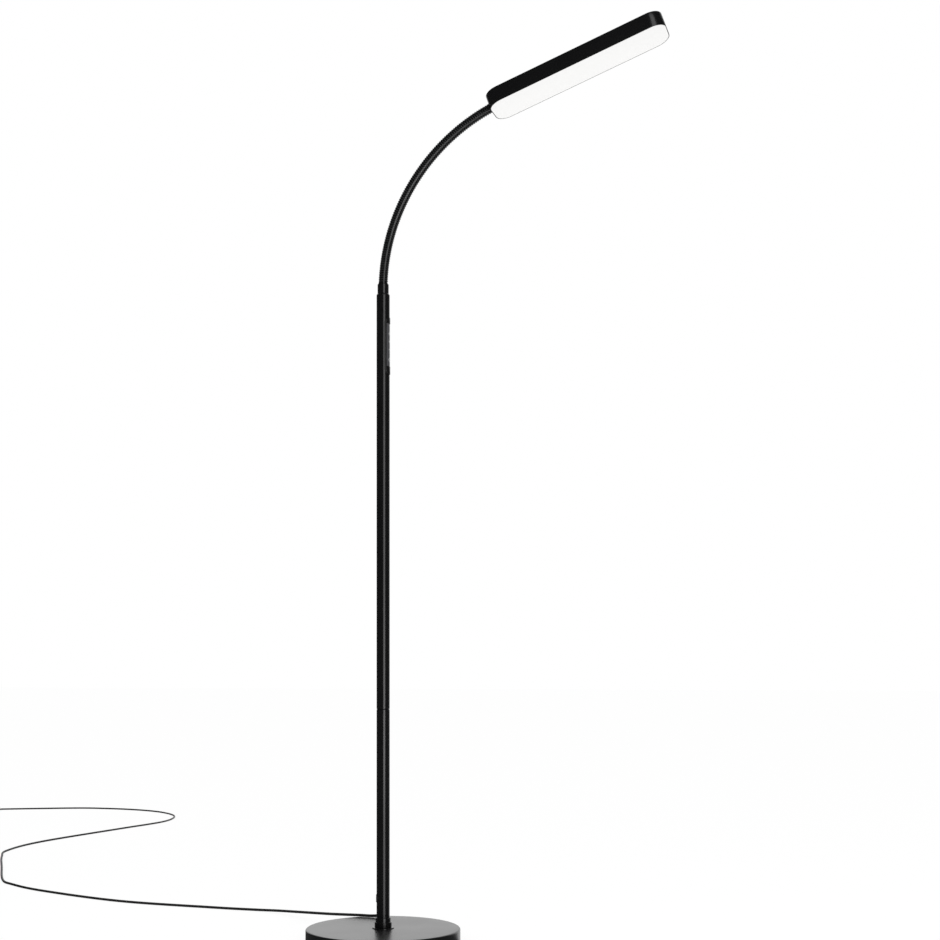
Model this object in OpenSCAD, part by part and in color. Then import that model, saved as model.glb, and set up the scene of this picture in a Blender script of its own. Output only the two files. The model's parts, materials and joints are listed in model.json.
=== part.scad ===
// Floor lamp: weighted round base, two-part pole, bendable neck and a long edge-lit head.
// Millimetres, +Z up, origin at the base's centre on the floor, +X towards the head.

/* [Base] */
// Diameter of the base cover
base_d = 234; // [200:1:280]
// Height of the base's top face above the floor
base_h = 24; // [22:0.5:34]
// Rounding of the cover's top edge
base_edge = 2.5; // [1.5:0.1:5]
// Sheet thickness of the base cover
cover_wall = 1.2; // [0.8:0.1:2]
// Gap between the cover's skirt and what it surrounds
skirt_gap = 1.5; // [0.5:0.1:3]
// Thickness of the foam pad under the base
pad_t = 2; // [1:0.1:4]
// Thickness of the bottom plate
plate_t = 1.2; // [1:0.1:2]
// Thickness of the cast weight
weight_t = 12; // [10:0.5:14]
// Depth of the ring groove cast into the weight's underside
groove_depth = 4; // [2:0.5:6]
// Distance of the plate screws from the centre
screw_circle_r = 85; // [75:1:92]
// Number of plate screws
plate_screw_count = 3; // [3:1:6]
// Radius of a plate screw's shank
plate_screw_r = 2; // [1.5:0.1:2.5]
// Radius of the bolt that clamps the pole to the base
bolt_r = 5; // [4:0.5:6]

/* [Pole] */
// Outer diameter of the pole tubes
pole_d = 20; // [18:0.5:24]
// Wall of the pole tubes
pole_wall = 1; // [0.8:0.1:1.4]
// Length of the lower tube
lower_pole_len = 330; // [250:1:400]
// Length of the upper tube
upper_pole_len = 625; // [500:1:700]
// Chamfer on the tube ends that meet
joint_chamfer = 0.8; // [0.4:0.1:0.9]
// Thickness of the thin washer under the collar
foot_washer_t = 1.2; // [0.8:0.1:2]
// Radius of the thin washer
foot_washer_r = 16.5; // [15.5:0.1:20]
// Radius of the collar's bulge
collar_r = 13; // [12.6:0.1:15]
// Height of the collar's bulge
collar_h = 8.4; // [7:0.1:12]
// Height of the sleeve above the bulge
sleeve_h = 6.4; // [4:0.1:9]
// Thickness of the sleeve's wall round the pole
sleeve_wall = 1.4; // [1:0.1:2]
// Height of the threaded spigot inside the pole's foot
spigot_h = 23; // [18:0.5:24]
// Length of each insert of the pole joint
insert_len = 25; // [18:1:40]
// Radius of the stud that joins the tubes
stud_r = 6; // [5:0.1:6.5]

/* [Outlet and plug] */
// Height of the cord outlet above the floor
outlet_z = 54; // [54:1:56]
// Radius of the hole for the strain relief
outlet_r = 4; // [3.6:0.1:4.4]
// Height of the blanking plug above the floor
plug_z = 69; // [68:1:90]
// Direction of the blanking plug round the pole, in degrees from the head
plug_turn = 196; // [180:1:210]
// Radius of the plug's saddle-shaped head
plug_head_r = 6; // [5:0.1:7]
// How far the plug's head stands proud of the pole
plug_proud = 0.75; // [0.5:0.05:1.5]

/* [Touch panel] */
// Distance from the pole's top down to the bezel's middle
panel_drop = 76.2; // [70:0.1:120]
// Length of the bezel
bezel_l = 86; // [80:1:100]
// Length of the lens
lens_l = 65; // [50:1:66]
// Width of the lens across its chord
lens_w = 14; // [12:0.1:14.5]
// How far the lens sits above the bezel's middle
lens_rise = 1.5; // [0:0.1:3]
// How far the bezel stands proud of the pole
bezel_proud = 0.8; // [0.5:0.05:1.2]
// Width of the bezel's rim beside the lens
bezel_rim = 1.5; // [1:0.1:1.8]
// How far the lens lies below the bezel's surface
lens_sunk = 0.5; // [0.2:0.05:0.7]
// Thickness of the lens
lens_t = 1.2; // [0.8:0.1:1.5]
// Length of the touch board
board_l = 80; // [76:1:84]

/* [Neck] */
// Height of the pole bush's flange
bush_flange_h = 3; // [2:0.1:5]
// Length of the bush inside the pole
bush_len = 25; // [18:1:30]
// Radius of the ferrule
ferrule_r = 8.5; // [8.2:0.1:9.5]
// Height of the ferrule
ferrule_h = 14.8; // [12:0.1:20]
// Radius of the neck over its ribs
neck_r = 7.2; // [6.5:0.1:7.2]
// Radius of one rib's round back
rib_r = 0.65; // [0.5:0.05:0.7]
// Ribs on one link of the neck
ribs_per_link = 6; // [5:1:8]
// Number of joints in the neck
neck_joints = 16; // [12:1:18]
// Radius of the arc that the neck follows at rest
neck_arc_r = 281; // [260:1:400]
// Degrees that the neck turns through at rest
neck_arc = 68; // [50:1:80]
// Radius of the ball on each link's end
ball_r = 4.6; // [4.2:0.1:4.8]
// Gap between a ball and its socket
ball_gap = 0.3; // [0.2:0.05:0.4]
// Radius of the wire passage through the neck
wire_bore_r = 2.5; // [2:0.1:2.8]

/* [Head] */
// Length of the head
head_l = 276; // [220:1:320]
// Width of the head
head_w = 69.4; // [60:1:90]
// Thickness of the head
head_t = 22.4; // [21.6:0.1:30]
// How far the middle of the head's thickness lies above the neck's axis
head_lift = 0.8; // [0:0.1:1]
// Corner radius of the head seen from above
head_corner = 21; // [18:0.5:24]
// Rounding of the head's upper edges
head_edge = 2; // [1:0.1:3]
// Degrees that the head points above level at rest
head_rise = 20; // [10:1:30]
// Side wall of the housing, which is the rim round the light
head_wall = 1; // [0.8:0.1:2.4]
// Top wall of the housing
head_top = 2; // [1.6:0.1:2.4]
// Width of the ledge that the diffuser rests on
ledge = 1.6; // [0.8:0.1:2]
// Thickness of the diffuser
diffuser_t = 2; // [1.5:0.1:2.4]
// Thickness of the light guide
guide_t = 3; // [2:0.1:3.5]
// Length of the threaded boss in the head's end wall
boss_l = 8; // [6:0.5:10]
// Diodes on each strip
led_count = 12; // [8:1:16]

/* [Cord] */
// Diameter of the cord
cord_d = 4.5; // [4:0.1:5]
// Radius of the coil at the middle of its turns
coil_mean_r = 25; // [24:0.5:28]
// Turns of the coil
coil_turns = 3; // [3:1:3]
// Length of the adapter's body
adapter_l = 62; // [50:1:70]
// Width of the adapter's body
adapter_w = 40; // [34:1:48]
// Height of the adapter's body as it lies
adapter_h = 27; // [24:1:34]

/* [Hidden] */
$fn = 64;

// Clearances
running_gap = 0.05;
thread_gap = 0.1;
fit_gap = 0.1;
seat_gap = 0.3;

// Heights from the floor up
plate_top = pad_t + plate_t;
cover_under = base_h - cover_wall;
weight_bottom = cover_under - weight_t;
pole_foot_z = base_h + foot_washer_t;
joint_z = pole_foot_z + lower_pole_len;
pole_top_z = joint_z + upper_pole_len;
ferrule_z = pole_top_z + bush_flange_h;
ferrule_top_z = ferrule_z + ferrule_h;

// Base
skirt_inner_r = base_d / 2 - cover_wall;
weight_r = skirt_inner_r - skirt_gap;
bolt_hole_r = bolt_r + 0.4;
hub_r = 15;
hub_depth = 5;
groove_inner_r = 28;
groove_outer_r = screw_circle_r - 14;
screw_boss_r = 8;
screw_depth = 8;
screw_head_r = plate_screw_r + 1.7;
bolt_washer_t = 2;
bolt_washer_r = 12;
bolt_head_h = 6.4;
bolt_head_r = 9.2;
bolt_reach = 18;

// Pole
pole_r = pole_d / 2;
pole_bore_r = pole_r - pole_wall;
insert_r = pole_bore_r - running_gap;
spigot_bore_r = 6.5;
spigot_web = 20;
stud_bore_r = 3;
stud_len = insert_len - 2;

// Outlet
cord_r = cord_d / 2;
boot_root_x = pole_r + 1.5;
boot_root_r = 4.4;
boot_tip_r = cord_r + 0.7;
boot_grooves = 5;
lead_r = 1.5;
lead_bend_r = 7;

// Touch panel
slot_rim = 0.6;
slot_w = lens_w + 2 * slot_rim;
slot_l = bezel_l - 5;
bezel_w = lens_w + 2 * bezel_rim;
bezel_outer_r = pole_r + bezel_proud;
lens_outer_r = bezel_outer_r - lens_sunk;
lens_inner_r = lens_outer_r - lens_t;
tub_inner_r = pole_bore_r - 0.2;
board_w = 12;
board_t = 1.6;
board_x = 3.4;
board_front = board_x + board_t;
connector_h = 5;
connector_w = 8;
connector_back = lead_r - 3;
touch_chip_size = [1.4, 7, 12];
sensor_w = 8;
sensor_gap = 0.2;
post_r = 1.8;
panel_z = pole_top_z - panel_drop;
lens_z = panel_z + lens_rise;
upper_post_z = (lens_z + lens_l / 2 + panel_z + slot_l / 2) / 2;
lower_post_z = (lens_z - lens_l / 2 + panel_z - slot_l / 2) / 2;

// Neck: straight links hinged on a polygon that touches the arc
neck_step = neck_arc / neck_joints;
link_len = 2 * neck_arc_r * tan(neck_step / 2);
core_r = neck_r - rib_r;
rib_pitch = link_len / ribs_per_link;
seam_half = rib_pitch / 2 - rib_r;
socket_r = ball_r + ball_gap;
root_reach = 3;
trap_h = 4;
trap_r = 7.2;
cap_cavity_r = trap_r + seat_gap;
bush_stub_h = 3;
first_joint = [0, 0, ferrule_top_z + root_reach];
tip_reach = 3.5;
spigot_r = 5.5;
nut_r = 8;
nut_t = 3;
tip_len = tip_reach + boss_l + seat_gap + nut_t + 0.2;

// Head, in its own frame: +X away from the neck, Z from the neck's axis up
head_bottom = head_lift - head_t / 2;
head_upper = head_bottom + head_t;
head_roof = head_upper - head_top;
inner_inset = head_wall + ledge;
diffuser_top = head_bottom + diffuser_t;
guide_bottom = diffuser_top;
sheet_bottom = guide_bottom + guide_t;
sheet_t = 0.5;
chassis_bottom = sheet_bottom + sheet_t;
chassis_t = 1.2;
chassis_top = chassis_bottom + chassis_t;
chassis_gap = 5;
near_screw_edge = 4.5;
far_screw_edge = 8;
side_screw_edge = 13.5;
chassis_start = tip_len - tip_reach + chassis_gap;
near_screw_x = chassis_start + near_screw_edge;
far_screw_x = head_l - inner_inset - far_screw_edge;
head_screw_y = head_w / 2 - side_screw_edge;
boss_r = 8;
screw_post_r = 3;
screw_hole_depth = 9;
head_screw_r = 1.4;
head_screw_reach = 7;
head_screw_head_r = 2.7;
head_screw_head_h = 1.5;
screw_clearance = 5;
guide_start = near_screw_x + screw_clearance;
guide_end = far_screw_x - screw_clearance;
flange_t = 1;
strip_bottom = guide_bottom + seat_gap;
strip_t = 0.8;
strip_h = guide_t - seat_gap;
led_t = 1;
led_l = 2.4;
led_h = 1.6;
led_lift = 0.5;
flange_outer_y = head_w / 2 - inner_inset - seat_gap;
strip_outer_y = flange_outer_y - flange_t;
led_face_y = strip_outer_y - strip_t - led_t;
guide_half_w = led_face_y - seat_gap;
near_flange_gap = 4;
far_flange_gap = 8;
flange_start = guide_start + near_flange_gap;
flange_end = guide_end - far_flange_gap;
driver_x = 60;
driver_l = 74;
driver_w = 34;
driver_pad_t = 1;
driver_pad_edge = 2;
driver_board_t = 1.6;
driver_plug_l = 7;
driver_plug_w = 8;
capacitor_at = [22, -6];
capacitor_r = 4;
capacitor_h = 6;
chip_at = [32, 2];
chip_size = [12, 10, 5];
choke_at = [54, 0];
choke_r = 6;
choke_h = 4.5;
// How deep one shape sinks into the next where the two are one part
overlap = 0.5;

// Cord route on the floor, chosen by hand: out of the strain relief, over the base's rim, away
floor_z = cord_r;
cord_route = [
  [-8, 32, 54], [-9.5, 38, 54], [-11, 44, 54], [-13.3, 53, 52.2], [-16.2, 62.5, 47.2],
  [-20.5, 72, 39.8], [-27.5, 80.5, 32.6], [-38, 86.5, 28.2], [-51.5, 89, 26.6], [-71, 90.5, 26.5],
  [-98, 99, 24.9], [-140, 130, 19.6],
  [-215, 190, 10.2], [-267, 225, 4.8], [-317, 238, 2.5], [-400, 243, 2.3], [-590, 265, 2.3],
  [-790, 340, 2.3], [-893, 400.6, 2.3], [-948, 453, 2.3], [-1062, 626, 2.3], [-1163, 783, 2.3],
  [-1216, 888, 2.3], [-1238, 1070, 2.3], [-1205, 1385, 2.3], [-1188, 1510, 2.3], [-1183, 1590, 2.3],
  [-1197, 1668, 2.3], [-1230, 1745, 2.3], [-1285, 1810, 2.3], [-1355, 1860, 2.3], [-1440, 1890, 2.3],
  [-1530, 1900, 2.3], [-1625, 1888, 2.3], [-1790, 1811, 2.3], [-1834, 1782, 2.6], [-1862, 1761, 3.3],
  [-1877, 1749.75, 3.3], [-1886, 1743, 3.3]
];
route_steps = 2;
// The strain relief ends square on the cord's first point
outlet_turn = atan2(cord_route[0].y, cord_route[0].x);
outlet_reach = norm([cord_route[0].x, cord_route[0].y]);

// Coil: the cord enters along coil_heading and leaves the same way, one layer up
coil_entry = [-1890, 1740, 3.3];
coil_heading = [-0.8, -0.6, 0];
coil_left = [0.6, -0.8, 0];
coil_pitch = 5;
coil_rise = 5;
coil_steps = 24;
coil_out_r = coil_mean_r + coil_pitch * coil_turns / 4;
coil_centre = coil_entry + coil_out_r * coil_left;
coil_start_turn = atan2(-coil_left.y, -coil_left.x);
straight_end = 5;
coil_exit = coil_entry + [0, 0, coil_rise];

// Tail and adapter
tail_route = [
  [-1894, 1737, 8.3], [-1900, 1732.5, 8.3], [-1911, 1724.25, 7.6], [-1927, 1712.25, 6.8],
  [-1943, 1700.25, 7.3], [-1955, 1691.25, 8], [-1962, 1686, 8]
];
adapter_at = tail_route[len(tail_route) - 1];
adapter_boot_l = 12;
adapter_boot_r = 4.2;
adapter_corner = 5;
pin_l = 16;
pin_w = 6.3;
pin_t = 1.5;
pin_spacing = 12.7;

neck_bodies = [for (i = [1 : neck_joints - 1]) str("neck_link_", i)];

// Points of an arc from one angle to another, in even steps
function arc(centre, r, from, to, steps) =
  [for (i = [0 : steps]) centre + r * [cos(from + (to - from) * i / steps), sin(from + (to - from) * i / steps)]];

// Where each neck joint lies, and which way the link above it points, in degrees from upright
function neck_lean(i) = i * neck_step;
function neck_joint(i) =
  i <= 1 ? first_joint
  : neck_joint(i - 1) + link_len * [sin(neck_lean(i - 1)), 0, cos(neck_lean(i - 1))];
head_lean = 90 - head_rise;
head_origin = neck_joint(neck_joints) + tip_reach * [sin(head_lean), 0, cos(head_lean)];

// A smooth curve through the points of a route, never under the floor
function blend_of(a, b, c, d, t) =
  0.5 * (2 * b + (c - a) * t + (2 * a - 5 * b + 4 * c - d) * t * t + (3 * b - a - 3 * c + d) * t * t * t);
function route_at(p, i, t) = blend_of(p[max(i - 1, 0)], p[i], p[i + 1], p[min(i + 2, len(p) - 1)], t);
function on_floor(q) = [q.x, q.y, max(q.z, floor_z)];
function route_curve(p, steps) = concat(
  [for (i = [0 : len(p) - 2]) for (k = [0 : steps - 1]) on_floor(route_at(p, i, k / steps))],
  [p[len(p) - 1]]
);

// The coil's centreline: in and out again at a steady rate, one layer up after the half turn
function coil_r_at(t) = coil_out_r - coil_pitch * (t < coil_turns / 2 ? t : coil_turns - t);
function coil_z_at(t) = coil_rise * min(max((t - coil_turns / 2 + 0.25) / 0.5, 0), 1);
function coil_point(t) =
  [coil_centre.x, coil_centre.y, coil_entry.z + coil_z_at(t)]
  + coil_r_at(t) * [cos(coil_start_turn + 360 * t), sin(coil_start_turn + 360 * t), 0];
coil_line = concat(
  [coil_entry - straight_end * coil_heading],
  [for (k = [0 : coil_turns * coil_steps]) coil_point(k / coil_steps)],
  [coil_exit + straight_end * coil_heading]
);
coil_gap = min([
  for (i = [0 : len(coil_line) - 1]) for (j = [i + coil_steps / 2 : 1 : len(coil_line) - 1])
    norm(coil_line[i] - coil_line[j]) - cord_d
]);
echo(least_gap_in_coil_mm = coil_gap);

// A round tube swept along points that never run upright
function unit(v) = v / norm(v);
function way_at(p, i) = unit(p[min(i + 1, len(p) - 1)] - p[max(i - 1, 0)]);
function ring_at(p, i, r, sides) =
  let (way = way_at(p, i), side = unit(cross(way, [0, 0, 1])), up = cross(side, way))
  [for (k = [0 : sides - 1]) p[i] + r * (cos(360 * (k + 0.5) / sides) * side + sin(360 * (k + 0.5) / sides) * up)];
module swept_tube(p, r, sides) {
  last = len(p) - 1;
  points = [for (i = [0 : last]) each ring_at(p, i, r, sides)];
  walls = [
    for (i = [0 : last - 1]) for (k = [0 : sides - 1])
      let (a = i * sides + k, b = i * sides + (k + 1) % sides)
      each [[a, a + sides, b], [b, a + sides, b + sides]]
  ];
  start_cap = [for (k = [1 : sides - 2]) [0, k, k + 1]];
  end_cap = [for (k = [1 : sides - 2]) [last * sides, last * sides + k + 1, last * sides + k]];
  polyhedron(points = points, faces = concat(walls, start_cap, end_cap), convexity = 10);
}

module pipe(r_out, r_in, from, to) {
  difference() {
    translate([0, 0, from]) cylinder(r = r_out, h = to - from);
    translate([0, 0, from - 1]) cylinder(r = r_in, h = to - from + 2);
  }
}

// Base

module base_pad() {
  color("dimgray") cylinder(r = weight_r, h = pad_t);
}

module at_plate_screws() {
  for (i = [0 : plate_screw_count - 1]) rotate([0, 0, 60 + 360 * i / plate_screw_count])
    translate([screw_circle_r, 0, 0]) children();
}

module base_plate() {
  color("black") difference() {
    translate([0, 0, pad_t]) cylinder(r = weight_r, h = plate_t);
    at_plate_screws() translate([0, 0, pad_t - 0.01])
      cylinder(r1 = screw_head_r + fit_gap, r2 = plate_screw_r + fit_gap, h = plate_t + 0.02);
  }
}

module plate_screws() {
  color("silver") at_plate_screws() rotate_extrude() polygon([
    [0, pad_t], [screw_head_r, pad_t], [plate_screw_r, plate_top],
    [plate_screw_r, plate_top + screw_depth], [0, plate_top + screw_depth + 1]
  ]);
}

module base_weight() {
  color("dimgray") difference() {
    union() {
      rotate_extrude() polygon([
        [bolt_hole_r, weight_bottom + hub_depth], [hub_r, weight_bottom + hub_depth],
        [hub_r, weight_bottom], [groove_inner_r, weight_bottom],
        [groove_inner_r + groove_depth / 2, weight_bottom + groove_depth],
        [groove_outer_r - groove_depth / 2, weight_bottom + groove_depth],
        [groove_outer_r, weight_bottom], [weight_r - 3, weight_bottom],
        [weight_r, weight_bottom + 3], [weight_r, cover_under - base_edge],
        [weight_r - base_edge, cover_under], [bolt_hole_r, cover_under]
      ]);
      at_plate_screws() translate([0, 0, plate_top]) cylinder(r = screw_boss_r, h = weight_bottom - plate_top + 1);
    }
    at_plate_screws() translate([0, 0, plate_top - 1]) cylinder(r = plate_screw_r + fit_gap, h = screw_depth + 3);
  }
}

module base_cover() {
  inner_edge = max(base_edge - cover_wall, 0.3);
  color([0.13, 0.13, 0.13]) rotate_extrude($fn = 128) polygon(concat(
    [[bolt_hole_r, cover_under], [bolt_hole_r, base_h]],
    arc([base_d / 2 - base_edge, base_h - base_edge], base_edge, 90, 0, 8),
    [[base_d / 2, pad_t], [skirt_inner_r, pad_t]],
    arc([skirt_inner_r - inner_edge, cover_under - inner_edge], inner_edge, 0, 90, 6)
  ));
}

module base_bolt() {
  head_top_z = weight_bottom + hub_depth - bolt_washer_t;
  color("silver") union() {
    translate([0, 0, head_top_z - bolt_head_h]) cylinder(r = bolt_head_r, h = bolt_head_h, $fn = 6);
    translate([0, 0, head_top_z - 1]) cylinder(r = bolt_r, h = pole_foot_z + bolt_reach - head_top_z + 1);
  }
}

module bolt_washer() {
  color("silver") pipe(bolt_washer_r, bolt_hole_r, weight_bottom + hub_depth - bolt_washer_t, weight_bottom + hub_depth);
}

// Pole

module foot_washer() {
  color([0.12, 0.12, 0.12]) pipe(foot_washer_r, bolt_hole_r, base_h, pole_foot_z);
}

module foot_collar() {
  collar_bore_r = pole_r + 0.15;
  sleeve_r = collar_bore_r + sleeve_wall;
  bulge_r = min(collar_h * 0.45, collar_r - sleeve_r);
  sleeve_top = pole_foot_z + collar_h + sleeve_h;
  color([0.13, 0.13, 0.13]) rotate_extrude() polygon(concat(
    [[collar_bore_r, pole_foot_z], [collar_r - 1, pole_foot_z]],
    arc([collar_r - 1, pole_foot_z + 1], 1, -90, 0, 4),
    arc([collar_r - bulge_r, pole_foot_z + collar_h - bulge_r], bulge_r, 0, 90, 6),
    [[sleeve_r, pole_foot_z + collar_h]],
    arc([sleeve_r - 0.8, sleeve_top - 0.8], 0.8, 0, 90, 4),
    [[collar_bore_r, sleeve_top]]
  ));
}

module foot_spigot() {
  color("silver") difference() {
    translate([0, 0, pole_foot_z]) cylinder(r = insert_r, h = spigot_h);
    translate([0, 0, pole_foot_z - 1]) cylinder(r = bolt_r + thread_gap, h = spigot_h + 2);
    translate([0, 0, pole_foot_z + spigot_web]) cylinder(r = spigot_bore_r, h = spigot_h);
  }
}

module lower_pole() {
  color([0.12, 0.12, 0.12]) difference() {
    rotate_extrude() polygon([
      [pole_bore_r, pole_foot_z], [pole_r, pole_foot_z], [pole_r, joint_z - joint_chamfer],
      [pole_r - joint_chamfer, joint_z], [pole_bore_r, joint_z]
    ]);
    rotate([0, 0, outlet_turn]) translate([0, 0, outlet_z]) rotate([0, 90, 0]) cylinder(r = outlet_r, h = pole_d);
    rotate([0, 0, plug_turn]) translate([0, 0, plug_z]) rotate([0, 90, 0]) cylinder(r = outlet_r, h = pole_d);
  }
}

module cord_bushing() {
  flange_x = pole_bore_r - 1.5;
  groove_pitch = (outlet_reach - boot_root_x - 6) / boot_grooves;
  function boot_r(x) = boot_root_r + (boot_tip_r - boot_root_r) * (x - boot_root_x) / (outlet_reach - boot_root_x);
  color([0.08, 0.08, 0.08]) rotate([0, 0, outlet_turn]) translate([0, 0, outlet_z]) difference() {
    rotate([0, 90, 0]) rotate_extrude() polygon(concat(
      [[0, flange_x], [outlet_r - fit_gap, flange_x], [outlet_r - fit_gap, pole_bore_r - 0.3]],
      [[outlet_r + 1.4, pole_bore_r - 0.3], [outlet_r + 1.4, boot_root_x], [boot_root_r, boot_root_x]],
      [for (i = [0 : boot_grooves - 1]) let (x = boot_root_x + 2 + i * groove_pitch) each [
        [boot_r(x), x], [boot_r(x) - 0.7, x + 0.3],
        [boot_r(x) - 0.7, x + 1.1], [boot_r(x + 1.4), x + 1.4]
      ]],
      [[boot_tip_r, outlet_reach], [0, outlet_reach]]
    ));
    difference() {
      translate([0, 0, -outlet_z]) cylinder(r = pole_r + running_gap, h = outlet_z * 2);
      rotate([0, 90, 0]) cylinder(r = outlet_r - fit_gap, h = pole_d);
    }
  }
}

module pole_plug() {
  color([0.08, 0.08, 0.08]) rotate([0, 0, plug_turn]) translate([0, 0, plug_z]) union() {
    translate([pole_bore_r - 2, 0, 0]) rotate([0, 90, 0]) cylinder(r = outlet_r - fit_gap, h = pole_wall + 2.3);
    intersection() {
      rotate([0, 90, 0]) cylinder(r = plug_head_r, h = pole_d);
      pipe(pole_r + plug_proud, pole_r + running_gap, -pole_d, pole_d);
    }
  }
}

module joint_socket() {
  color("silver") pipe(insert_r, stud_r + thread_gap, joint_z - insert_len, joint_z);
}

module joint_stud() {
  color("silver") difference() {
    union() {
      translate([0, 0, joint_z]) cylinder(r = insert_r, h = insert_len);
      translate([0, 0, joint_z - stud_len]) cylinder(r = stud_r, h = stud_len + 1);
    }
    translate([0, 0, joint_z - stud_len - 1]) cylinder(r = stud_bore_r, h = insert_len + stud_len + 2);
  }
}

// A slab with round ends, lying across +X and reaching from the axis outwards
module upright_stadium(length, width) {
  end_r = min(width / 2, 7);
  rotate([90, 0, 90]) linear_extrude(pole_d) union() {
    square([width, length - 2 * end_r], center = true);
    square([width - 2 * end_r, length], center = true);
    for (x = [-1, 1]) for (y = [-1, 1])
      translate([x * (width / 2 - end_r), y * (length / 2 - end_r)]) circle(r = end_r);
  }
}

module upper_pole() {
  color([0.12, 0.12, 0.12]) difference() {
    rotate_extrude() polygon([
      [pole_bore_r, joint_z], [pole_r - joint_chamfer, joint_z], [pole_r, joint_z + joint_chamfer],
      [pole_r, pole_top_z], [pole_bore_r, pole_top_z]
    ]);
    translate([0, 0, panel_z]) upright_stadium(slot_l, slot_w);
  }
}

module touch_bezel() {
  color([0.1, 0.1, 0.1]) difference() {
    union() {
      intersection() {
        pipe(bezel_outer_r, pole_r + running_gap, panel_z - bezel_l, panel_z + bezel_l);
        translate([0, 0, panel_z]) upright_stadium(bezel_l, bezel_w);
      }
      intersection() {
        pipe(pole_r + 0.3, tub_inner_r, panel_z - bezel_l, panel_z + bezel_l);
        translate([0, 0, panel_z]) upright_stadium(slot_l - 2 * fit_gap, slot_w - 2 * fit_gap);
      }
      for (z = [lower_post_z, upper_post_z]) translate([board_front, 0, z]) rotate([0, 90, 0])
        cylinder(r = post_r, h = tub_inner_r + overlap - board_front);
    }
    translate([0, 0, lens_z]) rotate([90, 0, 90]) translate([0, 0, pole_bore_r / 2])
      linear_extrude(pole_d) square([lens_w, lens_l], center = true);
  }
}

module touch_lens() {
  color([0.35, 0.35, 0.37]) intersection() {
    pipe(lens_outer_r, lens_inner_r, lens_z - lens_l, lens_z + lens_l);
    translate([0, 0, lens_z]) rotate([90, 0, 90])
      linear_extrude(pole_d) square([lens_w - fit_gap, lens_l - fit_gap], center = true);
  }
}

module touch_board() {
  sensor_count = 4;
  sensor_pitch = lens_l / (sensor_count + 0.5);
  sensor_reach = sqrt(pow(lens_inner_r, 2) - pow(sensor_w / 2, 2)) - sensor_gap;
  bottom = -board_l / 2;
  color("darkgreen") union() {
    translate([board_x, -board_w / 2, panel_z + bottom]) cube([board_t, board_w, board_l]);
    for (z = [bottom, -bottom - connector_h])
      translate([connector_back, -connector_w / 2, panel_z + z])
        cube([board_x - connector_back + overlap, connector_w, connector_h]);
    translate([board_x - touch_chip_size.x, -touch_chip_size.y / 2, panel_z - touch_chip_size.z / 2])
      cube(touch_chip_size + [overlap, 0, 0]);
    for (i = [0 : sensor_count - 1])
      translate([board_front - overlap, -sensor_w / 2,
        lens_z + (i - (sensor_count - 1) / 2) * sensor_pitch - sensor_w / 2])
        cube([sensor_reach - board_front + overlap, sensor_w, sensor_w]);
  }
}

module pole_lead() {
  inner_x = pole_bore_r - 1.5;
  top_z = panel_z - board_l / 2;
  color("black") union() {
    translate([0, 0, outlet_z + lead_bend_r]) cylinder(r = lead_r, h = top_z - outlet_z - lead_bend_r);
    rotate([0, 0, outlet_turn]) translate([lead_bend_r, 0, outlet_z + lead_bend_r]) rotate([-90, 180, 0])
      rotate([0, 0, -90]) rotate_extrude(angle = 90) translate([lead_bend_r, 0]) circle(r = lead_r, $fn = 24);
    rotate([0, 0, outlet_turn]) translate([lead_bend_r, 0, outlet_z]) rotate([0, 90, 0])
      cylinder(r = lead_r, h = inner_x - lead_bend_r);
  }
}

module neck_lead() {
  bottom_z = panel_z + board_l / 2;
  color("black") translate([0, 0, bottom_z]) cylinder(r = lead_r, h = ferrule_z + bush_stub_h - bottom_z);
}

module pole_bush() {
  color([0.13, 0.13, 0.13]) difference() {
    rotate_extrude() polygon([
      [0, pole_top_z - bush_len], [insert_r, pole_top_z - bush_len], [insert_r, pole_top_z],
      [pole_r, pole_top_z], [pole_r, pole_top_z + bush_flange_h / 2],
      [ferrule_r + 0.3, ferrule_z], [cap_cavity_r - thread_gap, ferrule_z],
      [cap_cavity_r - thread_gap, ferrule_z + bush_stub_h], [0, ferrule_z + bush_stub_h]
    ]);
    translate([0, 0, pole_top_z - bush_len - 1]) cylinder(r = wire_bore_r + 1, h = bush_len + 20);
  }
}

// Neck

trap_bottom_z = ferrule_z + bush_stub_h + seat_gap;
trap_top_z = trap_bottom_z + trap_h;

module neck_ferrule() {
  shoulder_z = trap_top_z + seat_gap;
  color([0.1, 0.1, 0.1]) rotate_extrude() polygon([
    [cap_cavity_r, ferrule_z], [ferrule_r, ferrule_z], [ferrule_r, ferrule_top_z - 0.8],
    [ferrule_r - 0.8, ferrule_top_z], [core_r + running_gap, ferrule_top_z],
    [core_r + running_gap, shoulder_z], [cap_cavity_r, shoulder_z]
  ]);
}

// Outline points of the ribs between two heights, from the first up to the last
function rib_outline(from, count) =
  [for (i = [0 : count - 1]) each arc([core_r, from + (i + 0.5) * rib_pitch], rib_r, -90, 90, 6)];
// Outline of the ball round a joint, from the sleeve's end face up to the wire passage
function ball_outline(z) = arc([0, z], ball_r, -asin(seam_half / ball_r), acos(wire_bore_r / ball_r), 9);
// Outline of the socket round a joint, from the wire passage down to the sleeve's end face
function socket_outline(z) = arc([0, z], socket_r, acos(wire_bore_r / socket_r), asin(seam_half / socket_r), 8);

module neck_root() {
  joint_h = first_joint.z;
  color([0.1, 0.1, 0.1]) rotate_extrude() polygon(concat(
    [[wire_bore_r, trap_bottom_z], [trap_r, trap_bottom_z], [trap_r, trap_top_z], [core_r, trap_top_z]],
    rib_outline(joint_h - rib_pitch, 1),
    ball_outline(joint_h)
  ));
}

// One straight link: ribbed sleeve, socket below and ball above
module neck_link() {
  rotate_extrude() polygon(concat(
    socket_outline(0),
    rib_outline(0, ribs_per_link),
    ball_outline(link_len)
  ));
}

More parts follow.
